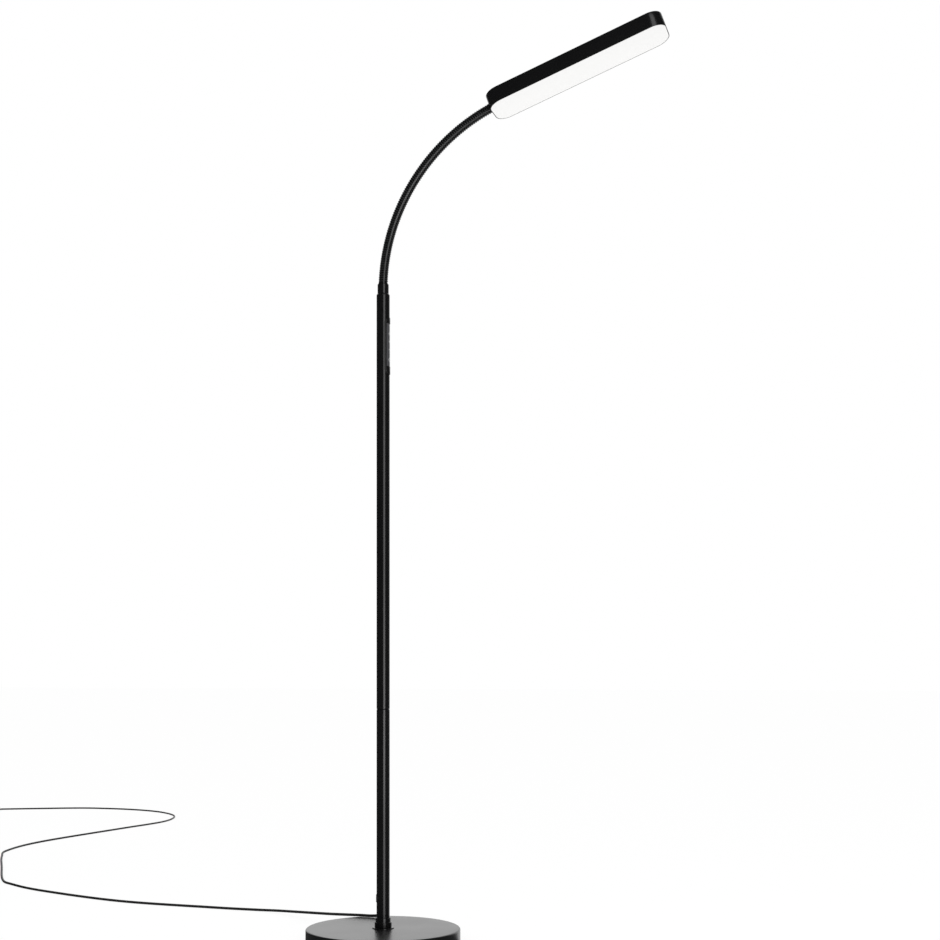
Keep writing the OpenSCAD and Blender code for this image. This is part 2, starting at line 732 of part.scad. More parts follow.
module placed_link(i) {
  color([0.1, 0.1, 0.1]) translate(neck_joint(i)) rotate([0, neck_lean(i), 0]) neck_link();
}

module on_head_axis() {
  translate(neck_joint(neck_joints)) rotate([0, head_lean, 0]) children();
}

module neck_tip() {
  shoulder = tip_reach - seat_gap;
  color([0.1, 0.1, 0.1]) on_head_axis() rotate_extrude() polygon(concat(
    socket_outline(0),
    rib_outline(0, 1),
    [[core_r, shoulder], [spigot_r, shoulder], [spigot_r, tip_len], [wire_bore_r, tip_len]]
  ));
}

module neck_nut() {
  start = tip_reach + boss_l + seat_gap;
  color("silver") on_head_axis() difference() {
    translate([0, 0, start]) cylinder(r = nut_r, h = nut_t, $fn = 6);
    translate([0, 0, start - 1]) cylinder(r = spigot_r + thread_gap, h = nut_t + 2);
  }
}

// Head

module in_head() {
  translate(head_origin) rotate([0, -head_rise, 0]) children();
}

// The head's outline, drawn in by an inset
module head_outline(inset) {
  r = head_corner - inset;
  l = head_l - 2 * inset;
  w = head_w - 2 * inset;
  translate([head_l / 2, 0]) union() {
    square([l, w - 2 * r], center = true);
    square([l - 2 * r, w], center = true);
    for (x = [-1, 1]) for (y = [-1, 1]) translate([x * (l / 2 - r), y * (w / 2 - r)]) circle(r = r);
  }
}

module head_slab(inset, from, to) {
  translate([0, 0, from]) linear_extrude(to - from) head_outline(inset);
}

// Half of a cross-section of the head with its upper edge rounded
function edge_section(half) = concat(
  [[0, head_bottom], [half, head_bottom]],
  arc([half - head_edge, head_upper - head_edge], head_edge, 0, 90, 6),
  [[0, head_upper]]
);

module head_solid() {
  half_l = head_l / 2;
  half_w = head_w / 2;
  translate([half_l, 0, 0]) union() {
    for (s = [0, 180]) rotate([0, 0, s]) {
      translate([half_l - head_corner, 0, 0]) rotate([90, 0, 180]) mirror([1, 0, 0])
        linear_extrude(head_w - 2 * head_corner, center = true) polygon(edge_section(head_corner));
      rotate([90, 0, 90])
        linear_extrude(head_l - 2 * head_corner, center = true) polygon(edge_section(half_w));
      for (y = [-1, 1]) translate([half_l - head_corner, y * (half_w - head_corner), 0])
        rotate_extrude() polygon(edge_section(head_corner));
    }
  }
}

module at_head_screws() {
  for (x = [near_screw_x, far_screw_x]) for (y = [-1, 1]) translate([x, y * head_screw_y, 0]) children();
}

module head_housing() {
  color([0.09, 0.09, 0.09]) in_head() difference() {
    union() {
      difference() {
        head_solid();
        head_slab(inner_inset, head_bottom - 1, head_roof);
        head_slab(head_wall, head_bottom - 1, diffuser_top);
      }
      translate([head_wall / 2, 0, 0]) rotate([0, 90, 0]) cylinder(r = boss_r, h = boss_l - head_wall / 2);
      at_head_screws() translate([0, 0, chassis_top]) cylinder(r = screw_post_r, h = head_roof - chassis_top + overlap);
    }
    translate([-1, 0, 0]) rotate([0, 90, 0]) cylinder(r = spigot_r + running_gap, h = boss_l + 2);
    at_head_screws() translate([0, 0, chassis_top - 1])
      cylinder(r = head_screw_r + fit_gap, h = screw_hole_depth + 1);
  }
}

module diffuser() {
  color("white") in_head() head_slab(head_wall + 0.15, head_bottom, diffuser_top);
}

module guide_plate(from, to) {
  translate([guide_start, -guide_half_w, from]) cube([guide_end - guide_start, 2 * guide_half_w, to - from]);
}

module light_guide() {
  color([0.9, 0.95, 1, 0.6]) in_head() intersection() {
    guide_plate(guide_bottom, sheet_bottom);
    head_slab(inner_inset + seat_gap, guide_bottom - 1, sheet_bottom + 1);
  }
}

module reflector_sheet() {
  color("white") in_head() intersection() {
    guide_plate(sheet_bottom, chassis_bottom);
    head_slab(inner_inset + seat_gap, guide_bottom - 1, chassis_bottom + 1);
  }
}

module led_strips() {
  run = flange_end - flange_start;
  color("white") in_head() for (s = [-1, 1]) {
    translate([flange_start, s * (strip_outer_y - strip_t / 2) - strip_t / 2, strip_bottom])
      cube([run, strip_t, strip_h]);
    for (i = [0 : led_count - 1])
      translate([flange_start + run * (i + 0.5) / led_count - led_l / 2,
        s * (led_face_y + (led_t + overlap) / 2) - (led_t + overlap) / 2, strip_bottom + led_lift])
        cube([led_l, led_t + overlap, led_h]);
  }
}

module head_chassis() {
  run = flange_end - flange_start;
  color("silver") in_head() difference() {
    union() {
      intersection() {
        head_slab(inner_inset + seat_gap, chassis_bottom, chassis_top);
        translate([chassis_start, -head_w, chassis_bottom - 1]) cube([head_l, 2 * head_w, chassis_t + 2]);
      }
      for (s = [-1, 1])
        translate([flange_start, s * (flange_outer_y - flange_t / 2) - flange_t / 2, strip_bottom])
          cube([run, flange_t, chassis_top - strip_bottom]);
    }
    at_head_screws() translate([0, 0, chassis_bottom - 1]) cylinder(r = head_screw_r + fit_gap, h = chassis_t + 2);
  }
}

module driver_board() {
  pad_top = chassis_top + driver_pad_t;
  board_top = pad_top + driver_board_t;
  color("darkgreen") in_head() union() {
    translate([driver_x + driver_pad_edge, driver_pad_edge - driver_w / 2, chassis_top])
      cube([driver_l - 2 * driver_pad_edge, driver_w - 2 * driver_pad_edge, driver_pad_t]);
    translate([driver_x, -driver_w / 2, pad_top]) cube([driver_l, driver_w, driver_board_t]);
    translate([driver_x, 0, board_top - overlap]) union() {
      translate([0, -driver_plug_w / 2, 0])
        cube([driver_plug_l, driver_plug_w, lead_r + overlap - board_top + overlap]);
      translate(capacitor_at) cylinder(r = capacitor_r, h = capacitor_h + overlap);
      translate(chip_at) cube(chip_size + [0, 0, overlap]);
      translate(choke_at) cylinder(r = choke_r, h = choke_h + overlap);
    }
  }
}

module head_screws() {
  color("silver") in_head() at_head_screws() union() {
    translate([0, 0, chassis_bottom - head_screw_head_h]) cylinder(r = head_screw_head_r, h = head_screw_head_h);
    translate([0, 0, chassis_bottom - overlap])
      cylinder(r = head_screw_r, h = chassis_t + head_screw_reach + overlap);
  }
}

module head_lead() {
  start_x = tip_len - tip_reach + seat_gap;
  color("black") in_head() translate([start_x, 0, 0]) rotate([0, 90, 0]) cylinder(r = lead_r, h = driver_x - start_x);
}

// Cord

module cord() {
  color([0.06, 0.06, 0.06]) swept_tube(route_curve(cord_route, route_steps), cord_r, 8);
}

module cord_coil() {
  color([0.06, 0.06, 0.06]) swept_tube(coil_line, cord_r, 6);
}

module cord_tie() {
  band = 0.8;
  width = 5;
  bottom = band;
  slack = coil_entry.z - cord_r - bottom;
  reach_in = coil_r_at(coil_turns / 2) - cord_r - slack;
  reach_out = coil_out_r + cord_r + slack;
  top = coil_entry.z + coil_rise + cord_r + slack;
  color("black") translate([coil_centre.x, coil_centre.y, 0]) rotate([0, 0, coil_start_turn - 90])
    rotate([90, 0, 0]) linear_extrude(width, center = true) difference() {
      translate([reach_in - band, bottom - band]) square([reach_out - reach_in + 2 * band, top - bottom + 2 * band]);
      translate([reach_in, bottom]) square([reach_out - reach_in, top - bottom]);
    }
}

module cord_tail() {
  color([0.06, 0.06, 0.06]) swept_tube(tail_route, cord_r, 8);
}

module at_adapter() {
  translate(adapter_at) rotate([0, 0, atan2(coil_heading.y, coil_heading.x)]) children();
}

module adapter_body() {
  color([0.08, 0.08, 0.08]) at_adapter() union() {
    rotate([0, 90, 0]) cylinder(r1 = cord_r + 0.8, r2 = adapter_boot_r, h = adapter_boot_l + 0.5);
    translate([adapter_boot_l, 0, -adapter_at.z]) linear_extrude(adapter_h) union() {
      translate([adapter_corner, -adapter_w / 2]) square([adapter_l - 2 * adapter_corner, adapter_w]);
      translate([0, adapter_corner - adapter_w / 2]) square([adapter_l, adapter_w - 2 * adapter_corner]);
      for (x = [adapter_corner, adapter_l - adapter_corner]) for (y = [-1, 1])
        translate([x, y * (adapter_w / 2 - adapter_corner)]) circle(r = adapter_corner);
    }
  }
}

module adapter_pins() {
  color("silver") at_adapter() for (s = [-1, 1])
    translate([adapter_boot_l + adapter_l, s * pin_spacing / 2 - pin_t / 2, adapter_h / 2 - adapter_at.z - pin_w / 2])
      cube([pin_l, pin_t, pin_w]);
}

base_pad();
base_plate();
plate_screws();
base_weight();
base_cover();
base_bolt();
bolt_washer();
foot_washer();
foot_collar();
foot_spigot();
lower_pole();
cord_bushing();
pole_plug();
joint_socket();
joint_stud();
upper_pole();
touch_bezel();
touch_lens();
touch_board();
pole_lead();
neck_lead();
pole_bush();
neck_ferrule();
neck_root();
for (i = [1 : neck_joints - 1]) placed_link(i);
neck_tip();
neck_nut();
head_housing();
diffuser();
light_guide();
reflector_sheet();
led_strips();
head_chassis();
driver_board();
head_screws();
head_lead();
cord();
cord_coil();
cord_tie();
cord_tail();
adapter_body();
adapter_pins();
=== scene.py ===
"""Floor lamp: round weighted base, slim pole with a touch strip, bendable ribbed neck and a long lit head."""

import json
import math

import bmesh
import bpy
from bpy.props import FloatProperty, FloatVectorProperty, IntProperty, PointerProperty
from mathutils import Matrix, Vector

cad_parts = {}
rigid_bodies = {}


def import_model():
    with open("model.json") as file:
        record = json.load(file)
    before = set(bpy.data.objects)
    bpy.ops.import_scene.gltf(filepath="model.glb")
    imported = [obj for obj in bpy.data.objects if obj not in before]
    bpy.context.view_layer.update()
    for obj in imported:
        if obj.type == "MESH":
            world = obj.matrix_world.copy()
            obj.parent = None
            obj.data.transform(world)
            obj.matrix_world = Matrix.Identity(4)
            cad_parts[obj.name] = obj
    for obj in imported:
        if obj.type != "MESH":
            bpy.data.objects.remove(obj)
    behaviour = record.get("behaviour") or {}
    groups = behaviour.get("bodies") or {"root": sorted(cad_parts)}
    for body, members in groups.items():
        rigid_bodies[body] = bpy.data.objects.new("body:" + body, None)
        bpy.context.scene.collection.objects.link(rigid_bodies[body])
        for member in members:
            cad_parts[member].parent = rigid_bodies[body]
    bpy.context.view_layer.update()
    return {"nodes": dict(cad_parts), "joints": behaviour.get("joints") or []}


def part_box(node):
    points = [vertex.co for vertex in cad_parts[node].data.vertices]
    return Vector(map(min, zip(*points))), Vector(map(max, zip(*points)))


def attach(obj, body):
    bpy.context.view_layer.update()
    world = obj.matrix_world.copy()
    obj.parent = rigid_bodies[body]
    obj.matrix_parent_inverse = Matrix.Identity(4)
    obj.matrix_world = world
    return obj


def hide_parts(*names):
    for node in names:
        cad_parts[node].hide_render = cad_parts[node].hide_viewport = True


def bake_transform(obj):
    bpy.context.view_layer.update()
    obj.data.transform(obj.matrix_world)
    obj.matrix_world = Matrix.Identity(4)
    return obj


bl_info = {
    "name": "Floor Lamp",
    "version": (1, 0, 0),
    "blender": (4, 5, 0),
    "location": "3D View > Sidebar > Floor Lamp",
    "description": "Dresses the solids of a floor lamp with a bendable neck",
    "category": "Object",
}

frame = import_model()

MM = 0.001
UP = Vector((0, 0, 1))
NECK_RADIUS = 7.2
# How far the winding starts before the first hinge and ends after the last
SEAM = 1.088 * MM
# Steps in one turn of the winding
WINDING_STEPS = 48


def box_mm(node):
    """The lowest and highest corners of a solid, in millimetres."""
    low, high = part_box(node)
    return low * 1000, high * 1000


BASE_LOW, BASE_HIGH = box_mm("base_cover")
WASHER_LOW, WASHER_HIGH = box_mm("foot_washer")
COLLAR_LOW, COLLAR_HIGH = box_mm("foot_collar")
LOWER_LOW, LOWER_HIGH = box_mm("lower_pole")
UPPER_HIGH = box_mm("upper_pole")[1]
BEZEL_LOW, BEZEL_HIGH = box_mm("touch_bezel")
LENS_LOW, LENS_HIGH = box_mm("touch_lens")
LENS_MIDDLE = (LENS_LOW + LENS_HIGH) / 2
BUSH_LOW, BUSH_HIGH = box_mm("pole_bush")
FERRULE_LOW, FERRULE_HIGH = box_mm("neck_ferrule")


# Settings


def length(name, description, default, low, high):
    """A length of the panel, given in millimetres."""
    return FloatProperty(
        name=name, description=description, default=default * MM, min=low * MM, max=high * MM, unit="LENGTH"
    )


def colour(name, description, *default):
    return FloatVectorProperty(
        name=name, description=description, subtype="COLOR", size=3, default=default, min=0, max=1
    )


class LampSizes(bpy.types.PropertyGroup):
    """Sizes of the lamp's pieces that its solids do not give"""

    base_edge: length("Base edge", "Rounding of the base's top edge", 2.5, 0.5, 6)
    rib_radius: length("Rib radius", "Radius of one rib's back on the neck", 0.8, 0.3, 1.2)
    ribs_per_link: IntProperty(
        name="Ribs per link", description="Turns of the neck's winding on one link", default=6, min=4, max=16
    )
    head_edge: length("Head edge", "Rounding of the head's upper edges", 2.0, 0.5, 4)
    icon_size: length("Icon size", "Width of one sign on the touch strip", 6.4, 3, 10)


class LampColours(bpy.types.PropertyGroup):
    """Colours of the lamp's finishes"""

    enamel: colour("Enamel", "Paint of the base, pole and neck", 0.0036, 0.0036, 0.0038)
    shell: colour("Head shell", "Plastic of the head's shell", 0.0034, 0.0034, 0.0036)
    lens: colour("Lens", "Smoked plastic of the touch strip", 0.05, 0.05, 0.053)
    light: colour("Light", "Colour that the diffuser glows in", 1.0, 0.995, 0.985)


class StudioSettings(bpy.types.PropertyGroup):
    """Light and camera round the lamp"""

    lens: FloatProperty(
        name="Lens", description="Focal length on a 36 mm sensor", default=58.8, min=20, max=200,
    )
    eye_height: FloatProperty(
        name="Eye height", description="Height of the camera above the floor",
        default=0.4144, min=0.1, max=3, unit="LENGTH",
    )
    sky: FloatProperty(
        name="Sky", description="Strength of the even light from all round", default=1.0, min=0, max=2,
    )
    softbox: FloatProperty(
        name="Softbox", description="Power of the tall softbox beside the camera, in watts",
        default=30, min=0, max=500,
    )


# Shaders


class Field:
    """A value in a shader. Python's operators on it add Math nodes to its finish."""

    def __init__(self, finish, socket):
        self.finish = finish
        self.socket = socket

    def _math(self, operation, *values):
        node = self.finish.node("ShaderNodeMath", {"operation": operation}, dict(enumerate(values)))
        return Field(self.finish, node.outputs[0])

    def __add__(self, other):
        return self._math("ADD", self, other)

    def __sub__(self, other):
        return self._math("SUBTRACT", self, other)

    def __rsub__(self, other):
        return self._math("SUBTRACT", other, self)

    def __mul__(self, other):
        return self._math("MULTIPLY", self, other)

    __radd__ = __add__
    __rmul__ = __mul__

    def between(self, low, high):
        """Zero at low, one at high, and smooth from one to the other."""
        node = self.finish.node(
            "ShaderNodeMapRange",
            {"interpolation_type": "SMOOTHSTEP"},
            {"Value": self, "From Min": low, "From Max": high},
        )
        return Field(self.finish, node.outputs["Result"])


class NodeTree:
    """Adds nodes to a tree and feeds their sockets with values or links."""

    def __init__(self, tree):
        self.tree = tree

    def node(self, kind, settings=None, inputs=None):
        made = self.tree.nodes.new(kind)
        for key, value in (settings or {}).items():
            setattr(made, key, value)
        for key, value in (inputs or {}).items():
            self.feed(made.inputs[key], value)
        return made

    def feed(self, socket, value):
        if isinstance(value, Field):
            value = value.socket
        if isinstance(value, bpy.types.NodeSocket):
            self.tree.links.new(value, socket)
        else:
            socket.default_value = value


class Finish(NodeTree):
    """One material, built from nodes round a Principled shader."""

    def __init__(self, name):
        self.material = bpy.data.materials.new(name)
        self.material.use_nodes = True
        super().__init__(self.material.node_tree)
        self.shader = self.tree.nodes["Principled BSDF"]

    def place(self, scale=(1, 1, 1)):
        """Object coordinates, stretched by scale."""
        place = self.node("ShaderNodeTexCoord").outputs["Object"]
        return self.node("ShaderNodeMapping", None, {"Vector": place, "Scale": scale}).outputs["Vector"]

    def noise(self, scale, detail=3.0, roughness=0.55, stretch=(1, 1, 1)):
        """A noise field whose patches are about one over scale metres wide."""
        node = self.node(
            "ShaderNodeTexNoise",
            {"noise_dimensions": "3D"},
            {"Vector": self.place(stretch), "Scale": scale, "Detail": detail, "Roughness": roughness},
        )
        return Field(self, node.outputs["Fac"])

    def pits(self, scale):
        """Distance to the nearest of many points, for grain and pores."""
        node = self.node("ShaderNodeTexVoronoi", None, {"Vector": self.place(), "Scale": scale})
        return Field(self, node.outputs["Distance"])

    def blend(self, share, first, second):
        """A colour between two, by a field."""
        node = self.node("ShaderNodeMix", {"data_type": "RGBA"}, {0: share, 6: first, 7: second})
        return node.outputs[2]

    def bump(self, height, distance, strength=1.0):
        inputs = {"Height": height, "Distance": distance, "Strength": strength}
        self.set(Normal=self.node("ShaderNodeBump", None, inputs).outputs["Normal"])

    def set(self, **sockets):
        """Feeds the shader's sockets, written with underscores for spaces."""
        for key, value in sockets.items():
            self.feed(self.shader.inputs[key.replace("_", " ")], value)


def rgba(colour, factor=1.0):
    return (colour[0] * factor, colour[1] * factor, colour[2] * factor, 1.0)


def grey(value):
    return rgba((value, value, value))


def chosen(name):
    """A colour as the panel has it."""
    return getattr(bpy.context.scene.lamp_colours, name)


def gloss_enamel(finish):
    """Smooth black enamel on the base, with a faint orange peel and a little dust."""
    colour = chosen("enamel")
    cloud = finish.noise(14, 2)
    dust = finish.pits(420).between(0.075, 0.03) * finish.noise(60, 2).between(0.55, 0.7)
    finish.set(
        Base_Color=finish.blend(dust * 0.5, rgba(colour), grey(0.1)),
        Roughness=0.27 + cloud * 0.08 + dust * 0.3,
        Coat_Weight=0.4,
        Coat_Roughness=0.26,
        IOR=1.5,
    )
    finish.bump(finish.noise(650, 2), 0.00002, 0.35)


def neck_winding(finish):
    """Blackened wire of the neck's winding, with a painted highlight: the backs of its ribs are painted
    lighter grey.
    """
    colour = chosen("enamel")
    wear_and_sheen = finish.noise(160, 4, stretch=(1, 1, 0.4)).between(0.45, 0.75)
    height = finish.node("ShaderNodeAttribute", {"attribute_name": "rib"}).outputs["Fac"]
    # Painted highlight: the rib backs are painted lighter grey in place of light caught on them, and the noise
    # patches it. The same noise varies roughness as wear.
    backs = Field(finish, height).between(0.4, 0.95)
    finish.set(
        Base_Color=finish.blend(backs * (wear_and_sheen * 0.4 + 0.6), rgba(colour, 0.7), rgba((0.024, 0.024, 0.025))),
        Roughness=0.2 + wear_and_sheen * 0.1,
        IOR=1.5,
    )
    finish.bump(finish.noise(2600, 2), 0.000012, 0.5)


def smoked_lens(finish):
    """Glossy smoked plastic over the touch board, with faint wipe marks."""
    colour = chosen("lens")
    wiped = finish.noise(120, 4, stretch=(1, 1, 0.12))
    finish.set(
        Base_Color=finish.blend(finish.noise(25, 2), rgba(colour, 0.9), rgba(colour, 1.15)),
        Roughness=0.1 + wiped * 0.12,
        IOR=1.52,
    )
    finish.bump(wiped, 0.00001, 0.2)


def opal_diffuser(finish):
    """Frosted opal sheet, lit from its two long edges."""
    colour = chosen("light")
    cloud = finish.noise(18, 2)
    finish.set(
        Base_Color=rgba((0.3, 0.3, 0.297)),
        Roughness=0.45,
        Emission_Color=finish.blend(cloud, rgba(colour, 0.57), rgba(colour, 0.6)),
        Emission_Strength=1.0,
        IOR=1.49,
    )
    finish.bump(finish.noise(2600, 2), 0.00001, 0.4)


def plated_pins(finish):
    """Nickel-plated blades, with fine scratches along them."""
    scratch = finish.noise(900, 3, stretch=(1, 0.1, 1))
    finish.set(
        Base_Color=finish.blend(scratch, rgba((0.55, 0.54, 0.5)), rgba((0.68, 0.66, 0.62))),
        Metallic=1.0,
        Roughness=0.2 + scratch * 0.2,
    )
    finish.bump(scratch, 0.00001, 0.4)


def zinc_steel(finish):
    """Zinc-plated steel of the bolt, washers and screws."""
    spangle = finish.pits(500)
    finish.set(
        Base_Color=finish.blend(spangle, rgba((0.5, 0.51, 0.52)), rgba((0.66, 0.67, 0.68))),
        Metallic=1.0,
        Roughness=0.28 + finish.noise(200, 3) * 0.15,
    )
    finish.bump(finish.noise(1200, 3), 0.00002, 0.4)


def turned_alloy(finish):
    """Turned or rolled aluminium of the inserts and the chassis."""
    lines = finish.noise(60, 3, stretch=(0.2, 0.2, 30))
    finish.set(
        Base_Color=finish.blend(lines, rgba((0.6, 0.61, 0.62)), rgba((0.76, 0.77, 0.78))),
        Metallic=1.0,
        Roughness=0.3 + lines * 0.15,
    )
    finish.bump(lines, 0.00002, 0.4)


def raw_casting(finish):
    """Sand-cast skin of the iron weight."""
    finish.set(
        Base_Color=finish.blend(finish.noise(90, 5), rgba((0.05, 0.048, 0.046)), rgba((0.11, 0.1, 0.095))),
        Metallic=0.6,
        Roughness=0.6 + finish.noise(150, 4) * 0.2,
    )
    finish.bump(finish.noise(320, 5, 0.7), 0.0003, 0.7)


def closed_foam(finish):
    """Closed-cell foam of the pad under the base."""
    cells = finish.pits(900)
    finish.set(Base_Color=finish.blend(cells, grey(0.02), grey(0.045)), Roughness=0.85)
    finish.bump(cells, 0.0002, 0.6)


def solder_mask(finish):
    """Green circuit board with a faint weave under its mask."""
    weave = finish.noise(700, 2, stretch=(1, 0.2, 1)) * finish.noise(700, 2, stretch=(1, 1, 0.2))
    dark, pale = rgba((0.008, 0.09, 0.03)), rgba((0.015, 0.16, 0.05))
    finish.set(Base_Color=finish.blend(weave.between(0.15, 0.4), dark, pale), Roughness=0.35)
    finish.bump(weave, 0.00003, 0.4)


def clear_guide(finish):
    """Clear acrylic of the light guide, pale from the light inside it."""
    finish.set(
        Base_Color=finish.blend(finish.pits(400), rgba((0.85, 0.88, 0.9)), rgba((0.93, 0.95, 0.96))),
        Roughness=0.08,
        IOR=1.49,
    )


def phosphor(finish):
    """Diodes on their white strips, yellow where the phosphor shows."""
    finish.set(
        Base_Color=finish.blend(finish.pits(180).between(0.1, 0.3), rgba((0.85, 0.7, 0.2)), grey(0.85)),
        Roughness=0.4,
    )
    finish.bump(finish.noise(900, 2), 0.00002, 0.3)


OWN_FINISHES = (
    gloss_enamel, neck_winding, smoked_lens, opal_diffuser, plated_pins, zinc_steel, turned_alloy,
    raw_casting, closed_foam, solder_mask, clear_guide, phosphor,
)

# Two shades in patches, greys or shares of a colour, a roughness with its worn spots, and the
# grain with its depth in millimetres. Each noise is given by its scale and detail.
GRAINED_FINISHES = {
    # Satin black powder coat of the pole
    "satin_enamel": dict(
        colour="enamel", shades=(0.8, 1.25), patches=(35, 3), roughness=0.16,
        worn=(25, 3), wear=0.06, ior=1.5, grain=(1800, 2), depth=0.01, strength=0.3,
    ),
    # Black moulded plastic of the head, with a fine spark grain
    "shell_plastic": dict(
        colour="shell", shades=(0.85, 1.2), patches=(30, 3), roughness=0.19,
        worn=(40, 3), wear=0.06, ior=1.46, grain=(3000, 3), depth=0.015, strength=0.5,
    ),
    # Black moulded plastic of the bezel and the bush
    "trim_plastic": dict(
        shades=(0.004, 0.007), patches=(50, 3), roughness=0.22,
        worn=(80, 3), wear=0.08, grain=(2400, 2), depth=0.012, strength=0.45,
    ),
    # Pale ink of the signs on the touch strip
    "icon_ink": dict(
        shades=(0.42, 0.55), patches=(900, 2), roughness=0.35,
        grain=(4000, 2), depth=0.005, strength=0.4,
    ),
    # Soft plastic of the cord's jacket
    "cord_jacket": dict(
        shades=(0.008, 0.016), patches=(220, 4), roughness=0.42,
        worn=(140, 3), wear=0.12, grain=(1500, 3), depth=0.03, strength=0.4,
    ),
    # Rubber of the strain relief, the boot, the strap and the plug in the pole
    "soft_rubber": dict(
        shades=(0.008, 0.015), patches=(300, 4), roughness=0.5,
        worn=(90, 3), wear=0.12, grain=(2200, 3), depth=0.03, strength=0.5,
    ),
    # Spark-grained housing of the adapter
    "adapter_plastic": dict(
        shades=(0.01, 0.017), patches=(40, 3), roughness=0.44,
        worn=(70, 3), wear=0.1, grain=(1400, 4), depth=0.05, strength=0.6,
    ),
    # Matt painted sheet under the base
    "black_plate": dict(
        shades=(0.018, 0.03), patches=(40, 3), roughness=0.55,
        worn=(60, 3), wear=0.1, grain=(900, 3), depth=0.04, strength=0.5,
    ),
    # White reflecting sheet
    "white_sheet": dict(
        shades=(0.84, 0.9), patches=(300, 3), roughness=0.6,
        grain=(1200, 2), depth=0.02, strength=0.3,
    ),
}


def grained(
    finish, shades, patches, roughness, grain, depth, strength,
    colour=None, worn=None, wear=0, ior=1.5,
):
    """Plastic, rubber, paint or ink that needs no more than patches, worn spots and a grain."""
    base = chosen(colour) if colour else (1, 1, 1)
    finish.set(
        Base_Color=finish.blend(finish.noise(*patches), *(rgba(base, shade) for shade in shades)),
        Roughness=finish.noise(*worn) * wear + roughness if worn else roughness,
        IOR=ior,
    )
    finish.bump(finish.noise(*grain), depth * MM, strength)


def finish_named(name):
    """The material of that name, made the first time it is asked for."""
    if name in GRAINED_FINISHES and name not in bpy.data.materials:
        grained(Finish(name), **GRAINED_FINISHES[name])
    elif name not in bpy.data.materials:
        next(make for make in OWN_FINISHES if make.__name__ == name)(Finish(name))
    return bpy.data.materials[name]


# Modelling


def outline(bm, points, closed=True):
    """Vertices through (radius, height) points in millimetres, joined by edges."""
    verts = [bm.verts.new((r * MM, 0, z * MM)) for r, z in points]
    edges = [bm.edges.new(pair) for pair in zip(verts, verts[1:])]
    if closed:
        edges.append(bm.edges.new((verts[-1], verts[0])))
    return verts, edges


def arc_points(centre, radius, start, end, steps):
    """Points of an arc in a section, from one angle in degrees to another."""
    turns = [math.radians(start + (end - start) * i / steps) for i in range(steps + 1)]
    return [(centre[0] + radius * math.cos(t), centre[1] + radius * math.sin(t)) for t in turns]


def faced(bm):
    """Faces a closed shape outwards."""
    bmesh.ops.recalc_face_normals(bm, faces=bm.faces)


def spun(bm, geometry, angle, steps, rise=0.0, merge=False):
    """Sweeps vertices and edges round the upright axis."""
    bmesh.ops.spin(
        bm, geom=geometry, cent=(0, 0, 0), axis=(0, 0, 1), angle=angle, dvec=(0, 0, rise), steps=steps,
        use_merge=merge,
    )


def lathed(points, steps=96, closed=True):
    """A section turned round the upright axis."""
    bm = bmesh.new()
    verts, edges = outline(bm, points, closed)
    spun(bm, verts + edges, math.tau, steps, merge=True)
    bmesh.ops.remove_doubles(bm, verts=bm.verts, dist=1e-6)
    faced(bm)
    return bm


def bevelled(bm, geometry, width, segments=2, affect="EDGES"):
    """Rounds edges or corners, by a width in millimetres."""
    bmesh.ops.bevel(
        bm, geom=geometry, offset=width * MM, segments=segments, profile=0.5, affect=affect,
        material=-1, clamp_overlap=True,
    )


def sharp_edges(bm, degrees):
    limit = math.radians(degrees)
    return [e for e in bm.edges if len(e.link_faces) == 2 and e.calc_face_angle(0) > limit]


def rectangle(bm, length, width):
    """A flat face in the XY plane, in metres."""
    corners = bmesh.ops.create_grid(bm, x_segments=1, y_segments=1, size=0.5)["verts"]
    bmesh.ops.scale(bm, verts=corners, vec=(length, width, 1))
    return corners


def stadium(bm, length, width, corner, steps=10):
    """A flat face in the XY plane with rounded corners, sizes in millimetres."""
    bevelled(bm, rectangle(bm, length * MM, width * MM), corner, steps, "VERTICES")


def new_verts(made):
    """The vertices that an extrusion or a copy has made."""
    return [g for g in made["geom"] if isinstance(g, bmesh.types.BMVert)]


def raised(bm, height, edge=0.0, segments=2):
    """Extrudes flat faces into a closed slab and rounds its sharp edges, in millimetres."""
    made = bmesh.ops.extrude_face_region(bm, geom=bm.faces[:], use_keep_orig=True)
    moved(bm, 0, 0, height, new_verts(made))
    faced(bm)
    if edge:
        bevelled(bm, sharp_edges(bm, 60), edge, segments)


def cut(bm, point, normal, clear=False):
    """Cuts a shape along a plane, and may clear what lies beyond it."""
    bmesh.ops.bisect_plane(
        bm, geom=bm.verts[:] + bm.edges[:] + bm.faces[:], dist=1e-7, plane_co=point, plane_no=normal,
        clear_outer=clear,
    )


def sliced(bm, step, half):
    """Cuts a shape into strips across X, so that it can be bent."""
    at = -half + step
    while at < half:
        cut(bm, (at * MM, 0, 0), (1, 0, 0))
        at += step


def turned(bm, degrees, axis, verts=None):
    """Turns a shape, or some of its vertices, round an axis through the origin."""
    turn = Matrix.Rotation(math.radians(degrees), 3, axis)
    bmesh.ops.rotate(bm, verts=verts or bm.verts, cent=(0, 0, 0), matrix=turn)


def moved(bm, x, y, z, verts=None):
    """Moves a shape, or some of its vertices, in millimetres."""
    bmesh.ops.translate(bm, verts=verts or bm.verts, vec=(x * MM, y * MM, z * MM))


def wrapped(bm, radius, height, turn=0.0):
    """Lays a flat shape on an upright cylinder: X across, Y up, Z outwards from the radius."""
    for v in bm.verts:
        across, up, out = v.co
        reach = math.sqrt(max((radius * MM + out) ** 2 - across**2, 0))
        v.co = Vector((reach, across, up + height * MM))
    turned(bm, turn, "Z")
    faced(bm)


def placed(bm, matrix):
    """Moves a shape into its place and faces it outwards."""
    bmesh.ops.transform(bm, matrix=matrix, verts=bm.verts)
    faced(bm)
    return bm


def standing(at, way):
    """A place on the floor, with its X axis along a way."""
    place = Matrix.Rotation(math.atan2(way.y, way.x), 4, "Z")
    place.translation = Vector((at.x, at.y, 0))
    return place


